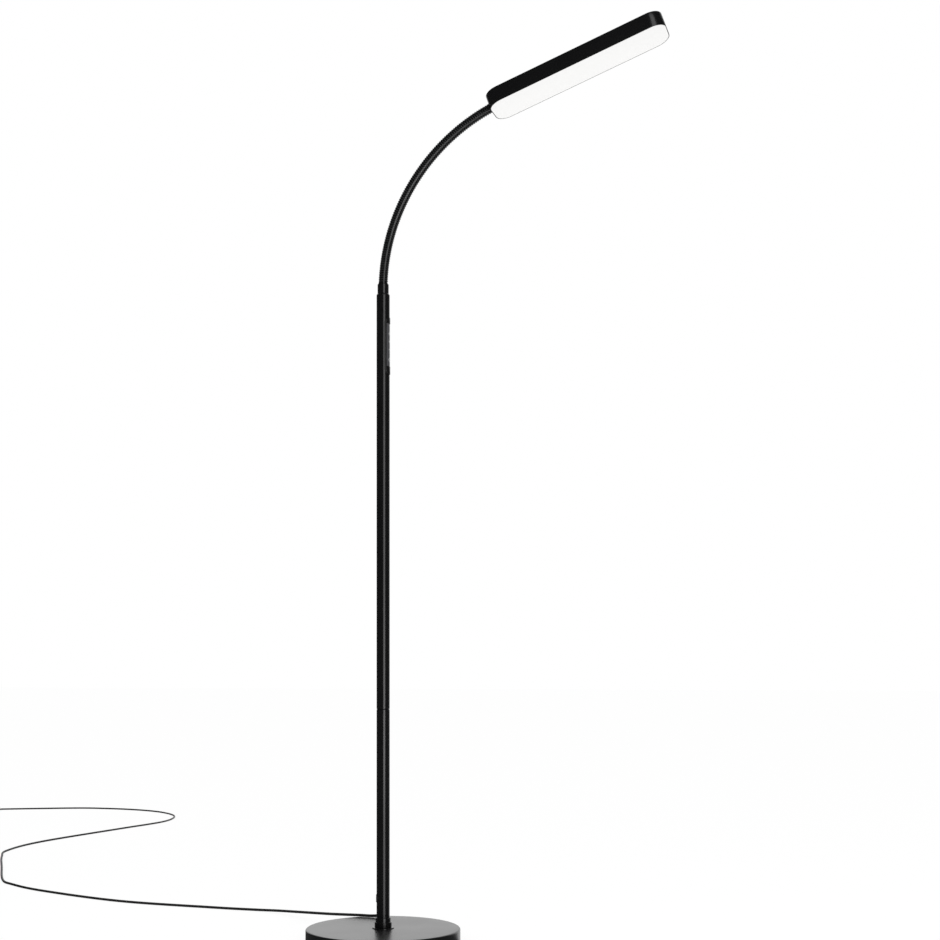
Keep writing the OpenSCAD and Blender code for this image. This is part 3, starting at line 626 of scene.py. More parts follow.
def as_mesh(name, bm, material):
    mesh = bpy.data.meshes.new(name)
    bm.to_mesh(mesh)
    bm.free()
    mesh.materials.append(material)
    return mesh


def as_object(name, data):
    made = bpy.data.objects.new(name, data)
    bpy.context.scene.collection.objects.link(made)
    return made


def as_piece(name, bm, finish, slot, *replaced, body="stand", smooth=35):
    """Makes a finished piece of the shape, at the origin, and lets it ride on a body."""
    mesh = as_mesh(name, bm, finish_named(finish))
    mesh.shade_smooth()
    mesh.set_sharp_from_angle(angle=math.radians(smooth))
    piece = as_object(name, mesh)
    if body:
        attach(piece, body)
    if replaced:
        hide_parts(*replaced)
    return piece


# Cord route, in metres: the same points as the solid's route

CORD_RADIUS = 0.00225
FLOOR_RUN = [
    (-0.4, 0.243), (-0.59, 0.265), (-0.79, 0.34), (-0.893, 0.4006), (-0.948, 0.453),
    (-1.062, 0.626), (-1.163, 0.783), (-1.216, 0.888), (-1.238, 1.07), (-1.205, 1.385),
    (-1.188, 1.51), (-1.183, 1.59), (-1.197, 1.668), (-1.23, 1.745), (-1.285, 1.81), (-1.355, 1.86),
    (-1.44, 1.89), (-1.53, 1.9), (-1.625, 1.888), (-1.79, 1.811),
]
CORD_ROUTE = [
    (-0.008, 0.032, 0.054), (-0.0095, 0.038, 0.054), (-0.011, 0.044, 0.054),
    (-0.0133, 0.053, 0.0522), (-0.0162, 0.0625, 0.0472), (-0.0205, 0.072, 0.0398),
    (-0.0275, 0.0805, 0.0326), (-0.038, 0.0865, 0.0282), (-0.0515, 0.089, 0.0266),
    (-0.071, 0.0905, 0.0265), (-0.098, 0.099, 0.0249), (-0.14, 0.13, 0.0196),
    (-0.215, 0.19, 0.0102), (-0.267, 0.225, 0.0048), (-0.317, 0.238, 0.0025),
    *((x, y, 0.0023) for x, y in FLOOR_RUN),
    (-1.834, 1.782, 0.0026), (-1.862, 1.761, 0.0033), (-1.877, 1.74975, 0.0033),
    (-1.886, 1.743, 0.0033),
]
COIL_ENTRY = Vector((-1.89, 1.74, 0.0033))
COIL_LEFT = Vector((0.6, -0.8, 0))
COIL_OUTER_RADIUS = 0.02875
COIL_TURNS = 3
COIL_PITCH = 0.005
TAIL_ROUTE = [
    (-1.894, 1.737, 0.0083), (-1.9, 1.7325, 0.0083), (-1.911, 1.72425, 0.0076), (-1.927, 1.71225, 0.0068),
    (-1.943, 1.70025, 0.0073), (-1.955, 1.69125, 0.008), (-1.962, 1.686, 0.008),
]


def along(route, steps):
    """Points of a smooth curve through a route, never under the floor."""
    points = [Vector(p) for p in route]
    out = []
    for i in range(len(points) - 1):
        a, b = points[max(i - 1, 0)], points[i]
        c, d = points[i + 1], points[min(i + 2, len(points) - 1)]
        for k in range(steps):
            t = k / steps
            q = 2 * b + (c - a) * t + (2 * a - 5 * b + 4 * c - d) * t**2 + (3 * b - a - 3 * c + d) * t**3
            q = 0.5 * q
            q.z = max(q.z, CORD_RADIUS)
            out.append(q)
    return out + [points[-1]]


def coil_points(per_turn=36):
    """Points of the coil: inwards for half its turns, one layer up, and out again."""
    centre = COIL_ENTRY + COIL_OUTER_RADIUS * COIL_LEFT
    start = math.atan2(-COIL_LEFT.y, -COIL_LEFT.x)
    out = []
    for k in range(COIL_TURNS * per_turn + 1):
        t = k / per_turn
        radius = COIL_OUTER_RADIUS - COIL_PITCH * min(t, COIL_TURNS - t)
        rise = COIL_PITCH * min(max((t - COIL_TURNS / 2 + 0.25) / 0.5, 0), 1)
        turn = start + math.tau * t
        out.append(centre + Vector((radius * math.cos(turn), radius * math.sin(turn), rise)))
    return out


def length_of(points):
    return sum((b - a).length for a, b in zip(points, points[1:]))


# Operators: each makes one piece, or one group of like pieces

CAMERA_PLACE = (0.7632, -2.1990)
CAMERA_AIM = Vector((-0.2740, 0.9617, 0))
CAMERA_TURN = 15.9
SOFTBOX_TURN = 22.5
SOFTBOX_WAY = Matrix.Rotation(math.radians(CAMERA_TURN + SOFTBOX_TURN), 3, "Z") @ Vector((0, -1, 0))
SOFTBOX_DISTANCE = 2.6
# The bright wall that gloss mirrors: where it is seen from on the floor, and which way it lies
WALL_ORIGIN = (0.1125, 0.032, 0)
WALL_WAY = (-0.11, 0.994, 0)
WALL_MIDDLE = (-0.107, 0.948, 0.30)
# What gloss sees: the wall, the softbox's strip on the floor, and the dark room round them. On the floor these
# are painted light and shade that only gloss sees.
WALL_GLOW = 0.92
STRIP_GLOW = 2.1
ROOM_GLOW = 0.03
# How much of the floor is its own white, to the camera and in gloss
FLOOR_WHITE = 0.86
FLOOR_WHITE_IN_GLOSS = 0.97
FLOOR_SIDE = 60
# Shift of the lens that keeps upright lines upright, in sensor widths
CAMERA_SHIFT = 0.2128


class FLOORLAMP_OT_studio(bpy.types.Operator):
    """Make the pale floor, the soft studio light and the camera"""

    bl_idname = "floorlamp.studio"
    bl_label = "Studio"

    def execute(self, context):
        settings = context.scene.lamp_studio
        self.add_camera(context, settings)
        self.add_floor()
        self.light_world(context, settings)
        self.add_softbox(settings)
        context.scene.view_settings.view_transform = "Standard"
        return {"FINISHED"}

    def add_camera(self, context, settings):
        data = bpy.data.cameras.new("camera")
        data.lens = settings.lens
        data.sensor_width = 36
        data.shift_y = CAMERA_SHIFT
        data.clip_end = 60
        camera = as_object("camera", data)
        camera.location = (*CAMERA_PLACE, settings.eye_height)
        camera.rotation_euler = CAMERA_AIM.to_track_quat("-Z", "Y").to_euler()
        context.scene.camera = camera

    def add_floor(self):
        finish = Finish("studio_floor")
        finish.set(Base_Color=grey(0.94), Roughness=0.9, Specular_IOR_Level=0.0)
        camera, glossy, through = self.rays(finish)
        # Painted light on the floor, for glossy rays only: bright towards the wall, a brighter strip where the
        # softbox's light would fall, and painted dark everywhere else.
        wall = self.facing(finish, WALL_ORIGIN, WALL_WAY).between(0.68, 0.95)
        strip = self.facing(finish, (0, 0, 0), SOFTBOX_WAY).between(0.955, 0.975)
        strength = glossy * (wall * WALL_GLOW + strip * STRIP_GLOW + (ROOM_GLOW - 1)) + 1
        white = finish.node("ShaderNodeEmission", None, {"Color": grey(1), "Strength": strength})
        share = (camera + through) * FLOOR_WHITE + glossy * FLOOR_WHITE_IN_GLOSS
        inputs = {0: share, 1: finish.shader.outputs[0], 2: white.outputs[0]}
        mix = finish.node("ShaderNodeMixShader", None, inputs)
        finish.feed(finish.tree.nodes["Material Output"].inputs["Surface"], mix.outputs[0])
        bm = bmesh.new()
        rectangle(bm, FLOOR_SIDE, FLOOR_SIDE)
        as_object("studio_floor", as_mesh("studio_floor", bm, finish.material))

    def rays(self, tree):
        """Whether a ray comes from the camera, from gloss or through something clear."""
        rays = tree.node("ShaderNodeLightPath").outputs
        return [Field(tree, rays[f"Is {kind} Ray"]) for kind in ("Camera", "Glossy", "Transmission")]

    def facing(self, finish, origin, way):
        """How nearly the way from an origin to a place on the floor is a given way."""
        offset = self.vector(finish, "SUBTRACT", finish.place(), origin)
        unit = self.vector(finish, "NORMALIZE", offset.outputs["Vector"])
        return Field(finish, self.vector(finish, "DOT_PRODUCT", unit.outputs["Vector"], way).outputs["Value"])

    def vector(self, tree, operation, *values):
        return tree.node("ShaderNodeVectorMath", {"operation": operation}, dict(enumerate(values)))

    def light_world(self, context, settings):
        world = bpy.data.worlds.new("studio")
        context.scene.world = world
        world.use_nodes = True
        world.node_tree.nodes.clear()
        tree = NodeTree(world.node_tree)
        camera, glossy, through = self.rays(tree)
        way = tree.node("ShaderNodeTexCoord").outputs["Generated"]
        facing = Field(tree, self.vector(tree, "DOT_PRODUCT", way, WALL_MIDDLE).outputs["Value"])
        wall = facing.between(0.66, 0.92) * WALL_GLOW + ROOM_GLOW
        even = glossy * (wall - settings.sky) + settings.sky
        plain = camera + through
        strength = (1 - plain) * even + plain
        light = tree.node("ShaderNodeBackground", None, {"Color": grey(1), "Strength": strength})
        tree.node("ShaderNodeOutputWorld", None, {"Surface": light.outputs[0]})

    def add_softbox(self, settings):
        """A tall softbox a little to the right of the camera."""
        data = bpy.data.lights.new("softbox", "AREA")
        data.shape = "RECTANGLE"
        data.size = 1.3
        data.size_y = 3.4
        data.energy = settings.softbox
        light = as_object("softbox", data)
        light.location = SOFTBOX_WAY * SOFTBOX_DISTANCE + UP * data.size_y / 2
        light.rotation_euler = (-SOFTBOX_WAY).to_track_quat("-Z", "Y").to_euler()


class FLOORLAMP_OT_cord(bpy.types.Operator):
    """Lay the cord from the pole over the floor, with its coil, to the adapter"""

    bl_idname = "floorlamp.cord"
    bl_label = "Cord"

    def execute(self, context):
        points = along(CORD_ROUTE, 10) + coil_points() + along(TAIL_ROUTE, 4)
        curve = bpy.data.curves.new("power_cord", "CURVE")
        curve.dimensions = "3D"
        curve.bevel_depth = CORD_RADIUS
        curve.bevel_resolution = 4
        curve.use_fill_caps = True
        spline = curve.splines.new("POLY")
        spline.points.add(len(points) - 1)
        for point, at in zip(spline.points, points):
            point.co = (*at, 1)
        spline.use_smooth = True
        curve.materials.append(finish_named("cord_jacket"))
        cord = as_object("power_cord", curve)
        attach(cord, "stand")
        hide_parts("cord", "cord_coil", "cord_tail")
        length_of(points)
        return {"FINISHED"}


class FLOORLAMP_OT_base(bpy.types.Operator):
    """Turn the base's black cover"""

    bl_idname = "floorlamp.base"
    bl_label = "Base"

    def execute(self, context):
        edge = context.scene.lamp_sizes.base_edge / MM
        radius, top, foot = BASE_HIGH.x, BASE_HIGH.z, BASE_LOW.z
        wall, hole = 1.2, 5.4
        section = [(hole, top - wall), (hole, top)]
        section += [(radius * k / 6, top) for k in range(1, 6)]
        section += arc_points((radius - edge, top - edge), edge, 90, 0, 12)
        section += arc_points((radius - 0.5, foot + 0.5), 0.5, 0, -90, 4)
        inside = radius - wall
        section += [(inside, foot), (inside, top - wall - 1.2), (inside - 1.2, top - wall)]
        as_piece("base_shell", lathed(section, 192), "gloss_enamel", "base_black", "base_cover")
        return {"FINISHED"}


class FLOORLAMP_OT_foot(bpy.types.Operator):
    """Turn the washer and the stepped collar at the pole's foot"""

    bl_idname = "floorlamp.foot"
    bl_label = "Foot"

    def execute(self, context):
        radius, low, high = WASHER_HIGH.x, WASHER_LOW.z, WASHER_HIGH.z
        washer = [(5.5, low), (radius - 0.3, low), (radius, low + 0.3)]
        washer += arc_points((radius - 0.6, high - 0.6), 0.6, 20, 90, 4) + [(5.5, high)]
        as_piece("foot_disc", lathed(washer), "satin_enamel", "pole_black", "foot_washer")
        radius, low, high = COLLAR_HIGH.x, COLLAR_LOW.z, COLLAR_HIGH.z
        bore, sleeve = 10.15, 11.55
        bulge_top = high - 6.4
        bulge = radius - sleeve
        section = [(bore, low)] + arc_points((radius - 1, low + 1), 1, -90, 0, 6)
        section += arc_points((radius - bulge, bulge_top - bulge), bulge, 0, 86, 8)
        section += [(sleeve, bulge_top + 0.25)]
        section += arc_points((sleeve - 0.8, high - 0.8), 0.8, 0, 90, 6) + [(bore, high)]
        as_piece("foot_ring", lathed(section), "satin_enamel", "pole_black", "foot_collar")
        return {"FINISHED"}


class FLOORLAMP_OT_pole(bpy.types.Operator):
    """Draw the two pole tubes and close the spare hole with its plug"""

    bl_idname = "floorlamp.pole"
    bl_label = "Pole"

    def execute(self, context):
        radius, bore, chamfer = LOWER_HIGH.x, LOWER_HIGH.x - 1, 0.8
        low, joint, top = LOWER_LOW.z, LOWER_HIGH.z, UPPER_HIGH.z

        groove = [(radius, chamfer), (radius - chamfer + 0.15, 0.12), (radius - chamfer, 0)]

        def rungs(start, end, count):
            return [(radius, start + (end - start) * k / count) for k in range(1, count)]

        def add_tube(name, node, section):
            as_piece(name, lathed(section), "satin_enamel", "pole_black", node, smooth=25)

        lower = [(bore, low), (radius - 0.2, low), (radius, low + 0.2)] + rungs(low, joint, 12)
        lower += [(r, joint - z) for r, z in groove] + [(bore, joint)]
        add_tube("lower_tube", "lower_pole", lower)
        upper = [(bore, joint)] + [(r, joint + z) for r, z in reversed(groove)] + rungs(joint, top, 20)
        upper += [(radius, top - 0.2), (radius - 0.2, top), (bore, top)]
        add_tube("upper_tube", "upper_pole", upper)
        button = bmesh.new()
        half, depth, sunk, height, turn = 6, 1.2, 0.45, 69, 196
        bmesh.ops.create_circle(button, cap_ends=True, radius=half * MM, segments=48)
        raised(button, depth, edge=0.45, segments=3)
        sliced(button, 0.8, half)
        wrapped(button, radius - sunk, height, turn)
        as_piece("spare_hole_plug", button, "soft_rubber", "grommet_black", "pole_plug")
        return {"FINISHED"}


class FLOORLAMP_OT_strain_relief(bpy.types.Operator):
    """Mould the grooved strain relief that the cord leaves by"""

    bl_idname = "floorlamp.strain_relief"
    bl_label = "Strain relief"

    def execute(self, context):
        exit_point = Vector(CORD_ROUTE[0]) / MM
        reach = math.hypot(exit_point.x, exit_point.y)
        turn = math.atan2(exit_point.y, exit_point.x)
        root, tip = 4.4, CORD_RADIUS / MM + 0.7
        start = LOWER_HIGH.x + 1.5
        rings = 5
        pitch = (reach - start - 5) / rings

        def radius_at(x):
            return root + (tip - root) * (x - start) / (reach - start)

        section = [(0, 7.6), (3.9, 7.6), (3.9, 8.0), (5.2, 8.0), (5.4, 8.3), (5.4, start - 0.3), (5.1, start)]
        section += [(radius_at(start), start + 0.05)]
        for i in range(rings):
            x = start + 1.6 + i * pitch
            near = radius_at(x)
            section += [(near, x), (near - 0.55, x + 0.2), (near - 0.7, x + 0.5)]
            section += [(near - 0.7, x + 0.9), (near - 0.55, x + 1.2), (radius_at(x + 1.4), x + 1.4)]
        section += arc_points((tip - 0.4, reach - 0.4), 0.4, 0, 90, 4) + [(0, reach)]
        relief = lathed(section, 64, closed=False)
        toward = Vector((math.cos(turn), math.sin(turn), 0))
        lying = toward.to_track_quat("Z", "Y").to_matrix()
        bmesh.ops.rotate(relief, verts=relief.verts, cent=(0, 0, 0), matrix=lying)
        moved(relief, 0, 0, exit_point.z)
        as_piece("strain_relief", relief, "soft_rubber", "grommet_black", "cord_bushing", smooth=50)
        return {"FINISHED"}


class FLOORLAMP_OT_touch_strip(bpy.types.Operator):
    """Set the bezel, the smoked lens and its signs into the pole"""

    bl_idname = "floorlamp.touch_strip"
    bl_label = "Touch strip"

    def execute(self, context):
        self.add_bezel()
        self.add_lens()
        self.add_signs(context.scene.lamp_sizes.icon_size / MM)
        return {"FINISHED"}

    def add_bezel(self):
        size, middle = BEZEL_HIGH - BEZEL_LOW, (BEZEL_HIGH + BEZEL_LOW) / 2
        opening, offset = (LENS_HIGH - LENS_LOW) / 2, LENS_MIDDLE.z - middle.z
        depth, corner, gap = 1.6, 7.0, 0.05
        bm = bmesh.new()
        stadium(bm, size.y, size.z, corner)
        for side in (1, -1):
            cut(bm, (side * (opening.y + gap) * MM, 0, 0), (1, 0, 0))
        for side in (1, -1):
            cut(bm, (0, (offset + side * (opening.z + gap)) * MM, 0), (0, 1, 0))
        inside = [
            f for f in bm.faces
            if abs(f.calc_center_median().x) < (opening.y + gap) * MM
            and abs(f.calc_center_median().y - offset * MM) < opening.z * MM
        ]
        bmesh.ops.delete(bm, geom=inside, context="FACES")
        self.let_in(bm, BEZEL_LOW, BEZEL_HIGH, depth, 0.3)
        as_piece("strip_bezel", bm, "trim_plastic", "trim_black", "touch_bezel")

    def let_in(self, bm, low, high, depth, edge):
        """Thickens a flat shape and lets it into the pole, where its solid lies."""
        raised(bm, depth, edge)
        sliced(bm, 0.7, (high.y - low.y) / 2)
        wrapped(bm, high.x - depth, (low.z + high.z) / 2)

    def add_lens(self):
        size = LENS_HIGH - LENS_LOW
        bm = bmesh.new()
        stadium(bm, size.y, size.z, 0.6, 3)
        self.let_in(bm, LENS_LOW, LENS_HIGH, 1.2, 0.15)
        as_piece("strip_lens", bm, "smoked_lens", "lens_grey", "touch_lens")

    def add_signs(self, size):
        for name, height, draw in (
            ("sign_sun", 17.2, self.draw_sun),
            ("sign_plus", 5.1, self.draw_plus),
            ("sign_minus", -7.0, self.draw_minus),
            ("sign_power", -22.1, self.draw_power),
        ):
            bm = bmesh.new()
            draw(bm, size / 2 * MM)
            raised(bm, 0.06)
            sliced(bm, 0.6, size / 2)
            wrapped(bm, LENS_HIGH.x - 0.02, LENS_MIDDLE.z + height)
            as_piece(name, bm, "icon_ink", "lens_grey")

    def bar(self, bm, length, width, at, turn):
        corners = rectangle(bm, length, width)
        bmesh.ops.translate(bm, verts=corners, vec=at)
        turned(bm, turn, "Z", corners)

    def ring(self, bm, radius, width, start, sweep):
        ends = [bm.verts.new((r * math.cos(start), r * math.sin(start), 0)) for r in (radius, radius - width)]
        spun(bm, ends + [bm.edges.new(ends)], sweep, 28)

    def draw_sun(self, bm, half):
        bmesh.ops.create_circle(bm, cap_ends=True, radius=half * 0.4, segments=24)
        for k in range(8):
            self.bar(bm, half * 0.32, half * 0.16, (half * 0.78, 0, 0), k * 360 / 8)

    def draw_plus(self, bm, half):
        made = bmesh.ops.create_grid(bm, x_segments=3, y_segments=3, size=half * 0.75)
        for v in made["verts"]:
            v.co = [math.copysign(half * 0.12, c) if abs(c) < half * 0.5 else c for c in v.co[:2]] + [0]
        middles = [(f, f.calc_center_median()) for f in bm.faces]
        corners = [f for f, at in middles if min(abs(at.x), abs(at.y)) > half * 0.12]
        bmesh.ops.delete(bm, geom=corners, context="FACES")

    def draw_minus(self, bm, half):
        self.bar(bm, half * 1.5, half * 0.24, (0, 0, 0), 0)

    def draw_power(self, bm, half):
        gap = math.radians(34)
        self.ring(bm, half * 0.85, half * 0.22, math.pi / 2 + gap, math.tau - 2 * gap)
        self.bar(bm, half * 0.85, half * 0.22, (half * 0.6, 0, 0), 90)


class NeckArc:
    """The neck's centreline at rest: one arc that leaves its foot upright."""

    def __init__(self, hinges):
        turns = [math.atan2(b.x - a.x, b.z - a.z) for a, b in zip(hinges, hinges[1:])]
        self.half_link = (hinges[1] - hinges[0]).length / 2
        self.step = turns[1] - turns[0]
        self.radius = self.half_link / math.tan(self.step / 2)
        self.foot = hinges[0] - UP * self.half_link

    def at(self, distance, out=0.0, side=0.0):
        """The point at a distance along the arc, or beside it."""
        turn = distance / self.radius
        reach = self.radius - out
        return self.foot + Vector((self.radius - reach * math.cos(turn), side, reach * math.sin(turn)))


class FLOORLAMP_OT_neck(bpy.types.Operator):
    """Turn the bush and the ferrule, and wind the ribbed neck, one stretch for each link"""

    bl_idname = "floorlamp.neck"
    bl_label = "Neck"

    def execute(self, context):
        self.add_fittings()
        bends = [j for j in frame["joints"] if j["name"].startswith("neck_bend")]
        bodies = [bends[0]["parent"]] + [j["child"] for j in bends]
        arc = NeckArc([Vector(j["pos_m"]) for j in bends])
        for k, (lower, upper) in enumerate(zip(bodies, bodies[1:])):
            self.wind(arc, k, k == len(bends) - 1, lower, upper, context.scene.lamp_sizes)
        return {"FINISHED"}

    def add_fittings(self):
        radius, low, shoulder = BUSH_HIGH.x, UPPER_HIGH.z, FERRULE_LOW.z
        ferrule, top = FERRULE_HIGH.x, FERRULE_HIGH.z
        passage, plug, spigot, middle = 3.5, 8.95, 7.4, (low + shoulder) / 2
        section = [
            (passage, BUSH_LOW.z), (plug, BUSH_LOW.z), (plug, low), (radius - 0.15, low), (radius, low + 0.15),
            (radius, middle - 0.1), (radius - 0.1, middle + 0.1), (ferrule + 0.45, shoulder - 0.15),
            (ferrule + 0.3, shoulder), (spigot, shoulder), (spigot, BUSH_HIGH.z), (passage, BUSH_HIGH.z),
        ]
        as_piece("pole_shoulder", lathed(section), "satin_enamel", "trim_black", "pole_bush")
        bore, lip, lip_height = 7.5, 6.6, 7.2
        section = [(bore, shoulder), (ferrule - 0.25, shoulder), (ferrule, shoulder + 0.25)]
        section += arc_points((ferrule - 0.8, top - 0.8), 0.8, 0, 90, 6)
        section += [(lip, top), (lip, top - lip_height), (bore, top - lip_height)]
        as_piece("neck_cap", lathed(section), "satin_enamel", "neck_black", "neck_ferrule")

    def wind(self, arc, k, last, lower, upper, sizes):
        """One stretch of the winding, from the middle of a link to the middle of the next."""
        ribs, rib_radius = sizes.ribs_per_link, sizes.rib_radius
        length = arc.radius * arc.step
        pitch = length / ribs
        core = NECK_RADIUS * MM - rib_radius
        start = length * k
        bm = bmesh.new()
        backs = arc_points((core, pitch / 2), rib_radius, -90, 90, 8)
        profile = [(core, 0.0)] + backs + [(core, pitch)]
        verts, edges = outline(bm, [(r / MM, z / MM) for r, z in profile], closed=False)
        spun(bm, verts + edges, math.tau * ribs, WINDING_STEPS * ribs, pitch / WINDING_STEPS)
        bmesh.ops.remove_doubles(bm, verts=bm.verts, dist=2e-6)
        still, moves = pitch, length
        if k == 0:
            still = arc.half_link - SEAM
            cut(bm, (0, 0, still), (0, 0, -1), clear=True)
        if last:
            moves = arc.half_link + SEAM
            cut(bm, (0, 0, moves), (0, 0, 1), clear=True)
        faced(bm)
        self.face_outwards(bm)
        bmesh.ops.solidify(bm, geom=bm.faces[:], thickness=0.4 * MM)
        rib = bm.verts.layers.float.new("rib")
        for v in bm.verts:
            v[rib] = (math.hypot(v.co.x, v.co.y) - core) / rib_radius
            v.co = arc.at(start + v.co.z, *v.co.xy)
        faced(bm)
        name, replaced = f"neck_winding_{k + 1:02d}", [] if last else [f"neck_link_{k + 1}"]
        piece = as_piece(name, bm, "neck_winding", "neck_black", *replaced, body=None, smooth=60)
        first_point, last_point = tuple(arc.at(start + still)), tuple(arc.at(start + moves))
        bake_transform(piece)

    def face_outwards(self, bm):
        """Turns an open sleeve's faces away from the upright axis."""
        if sum(f.normal.xy.dot(f.calc_center_median().xy) for f in bm.faces) < 0:
            bmesh.ops.reverse_faces(bm, faces=bm.faces)


class FLOORLAMP_OT_head(bpy.types.Operator):
    """Mould the head's shell and set the glowing diffuser into it"""

    bl_idname = "floorlamp.head"
    bl_label = "Head"

    length, width, thickness, corner = 276.0, 69.4, 22.4, 21.0
    rim, ledge, diffuser, lift, roof, standoff = 1.0, 1.6, 2.0, 0.8, 2.0, 3.5

    def execute(self, context):
        twist = next(j for j in frame["joints"] if j["name"] == "head_twist")
        axis = Vector(twist["axis"]).normalized()
        origin = Vector(twist["pos_m"]) + axis * self.standoff * MM
        across = Vector((0, 1, 0))
        upward = axis.cross(across)
        place = Matrix((axis, across, upward)).transposed().to_4x4()
        place.translation = origin
        self.add_shell(context, place)
        self.add_diffuser(place)
        return {"FINISHED"}

    def add_shell(self, context, place):
        edge = context.scene.lamp_sizes.head_edge / MM
        bm = bmesh.new()
        stadium(bm, self.length, self.width, self.corner, 20)
        raised(bm, self.thickness)
        top = [e for e in bm.edges if all(v.co.z > self.thickness * 0.9 * MM for v in e.verts)]
        bevelled(bm, top, edge, 6)
        bm.normal_update()
        under = max((f for f in bm.faces if f.normal.z < -0.9), key=lambda f: f.calc_area())
        under = self.stepped(bm, under, self.rim, self.diffuser)
        self.stepped(bm, under, self.ledge, self.thickness - self.diffuser - self.roof)
        bevelled(bm, [e for e in sharp_edges(bm, 60) if all(v.co.z < 0.1 * MM for v in e.verts)], 0.25)
        self.add(bm, place, "head_shell", "shell_plastic", "head_black", "head_housing")

    def add(self, bm, place, name, finish, slot, node):
        moved(bm, self.length / 2, 0, self.lift - self.thickness / 2)
        as_piece(name, placed(bm, place), finish, slot, node, body="head", smooth=30)

    def stepped(self, bm, face, inset, depth):
        """Insets a face that looks down and lifts what is left inside it."""
        bmesh.ops.inset_region(bm, faces=[face], thickness=inset * MM, use_even_offset=True)
        made = bmesh.ops.extrude_face_region(bm, geom=[face, *face.edges])["geom"]
        inner = next(g for g in made if isinstance(g, bmesh.types.BMFace))
        moved(bm, 0, 0, depth, inner.verts)
        return inner

    def add_diffuser(self, place):
        inset = self.rim + 0.15
        bm = bmesh.new()
        stadium(bm, self.length - 2 * inset, self.width - 2 * inset, self.corner - inset, 20)
        raised(bm, self.diffuser, edge=0.3, segments=3)
        self.add(bm, place, "opal_sheet", "opal_diffuser", "diffuser_white", "diffuser")


class FLOORLAMP_OT_adapter(bpy.types.Operator):
    """Mould the adapter with its boot, plate its blades and strap the coil"""

    bl_idname = "floorlamp.adapter"
    bl_label = "Adapter"

    boot, length, width, height, corner = 12.0, 62.0, 40.0, 27.0, 5.0

    def execute(self, context):
        entry = Vector(TAIL_ROUTE[-1])
        place = standing(entry, entry - Vector(TAIL_ROUTE[-2]))
        self.add_body(place, entry.z / MM)
        self.add_blades(place)
        self.add_strap()
        return {"FINISHED"}

    def add(self, bm, place, name, finish, slot, *replaced):
        as_piece(name, placed(bm, place), finish, slot, *replaced, smooth=40)

    def add_body(self, place, cord_height):
        bm = bmesh.new()
        half = self.height / 2
        stadium(bm, self.length, self.width, self.corner, 8)
        raised(bm, self.height)
        for seam in (half - 0.35, half + 0.35):
            cut(bm, (0, 0, seam * MM), (0, 0, 1))
        belt = [f for f in bm.faces if abs(f.calc_center_median().z - half * MM) < 0.3 * MM]
        bmesh.ops.inset_region(bm, faces=belt, thickness=0.05 * MM, depth=-0.3 * MM, use_even_offset=True)
        ends = [e for z in (0, self.height) for e in self.edges_at(bm, z)]
        bevelled(bm, ends, 1.8, 5)
        moved(bm, self.boot + self.length / 2, 0, 0)
        self.add(bm, place, "adapter_case", "adapter_plastic", "adapter_black", "adapter_body")
        section = [(0, 0.3), (2.7, 0.3)] + arc_points((2.75, 0.6), 0.3, -90, 0, 3)
        for i in range(3):
            x = 2.0 + 3.2 * i
            grown = 3.05 + 1.15 * x / self.boot
            section += [(grown, x), (grown - 0.55, x + 0.3), (grown - 0.55, x + 1.3), (grown + 0.15, x + 1.6)]
        section += [(4.2, self.boot - 0.8), (4.2, self.boot + 0.5), (0, self.boot + 0.5)]
        boot = lathed(section, 48, closed=False)
        turned(boot, 90, "Y")
        moved(boot, 0, 0, cord_height)
        self.add(boot, place, "adapter_boot", "soft_rubber", "adapter_black")

    def edges_at(self, bm, height):
        """The edges that lie at a height."""
        return [e for e in bm.edges if all(abs(v.co.z - height * MM) < 0.01 * MM for v in e.verts)]

    def add_blades(self, place):
        length, width, corner, hole_radius, hole_reach = 16, 6.3, 1.2, 1.4, 4.6
        bm = bmesh.new()
        stadium(bm, length, width, corner, 4)
        hole = bmesh.ops.create_circle(bm, cap_ends=False, radius=hole_radius * MM, segments=24)
        moved(bm, hole_reach, 0, 0, hole["verts"])
        bmesh.ops.delete(bm, geom=bm.faces[:], context="FACES_ONLY")
        bmesh.ops.triangle_fill(bm, edges=bm.edges[:], use_beauty=True, normal=(0, 0, 1))
        thickness, pitch = 1.5, 12.7
        raised(bm, thickness, edge=0.2)
        turned(bm, 90, "X")
        moved(bm, self.boot + self.length + length / 2, (thickness + pitch) / 2, self.height / 2)
        copy = bmesh.ops.duplicate(bm, geom=bm.verts[:] + bm.edges[:] + bm.faces[:])
        moved(bm, 0, -pitch, 0, new_verts(copy))
        self.add(bm, place, "adapter_blades", "plated_pins", "pin_brass", "adapter_pins")

    def add_strap(self):
        low, high = box_mm("cord_tie")
        centre = COIL_ENTRY + COIL_OUTER_RADIUS * COIL_LEFT
        outward = Vector((low + high) / 2 * MM) - centre
        reach = outward.to_2d().length / MM
        band, width = 0.8, 5
        span = 2 * band + COIL_PITCH / MM * COIL_TURNS / 2 + 2 * CORD_RADIUS / MM + 0.6
        tall = high.z - low.z
        bm = bmesh.new()
        stadium(bm, span, tall, 1.6, 6)
        outer = bm.faces[:]
        bmesh.ops.inset_region(bm, faces=outer, thickness=band * MM, use_boundary=True, use_even_offset=True)
        bmesh.ops.delete(bm, geom=outer, context="FACES")
        raised(bm, width, edge=0.2)
        moved(bm, reach, low.z + tall / 2, -width / 2)
        turned(bm, 90, "X")
        place = standing(centre, outward)
        self.add(bm, place, "coil_strap", "soft_rubber", "tie_black", "cord_tie")


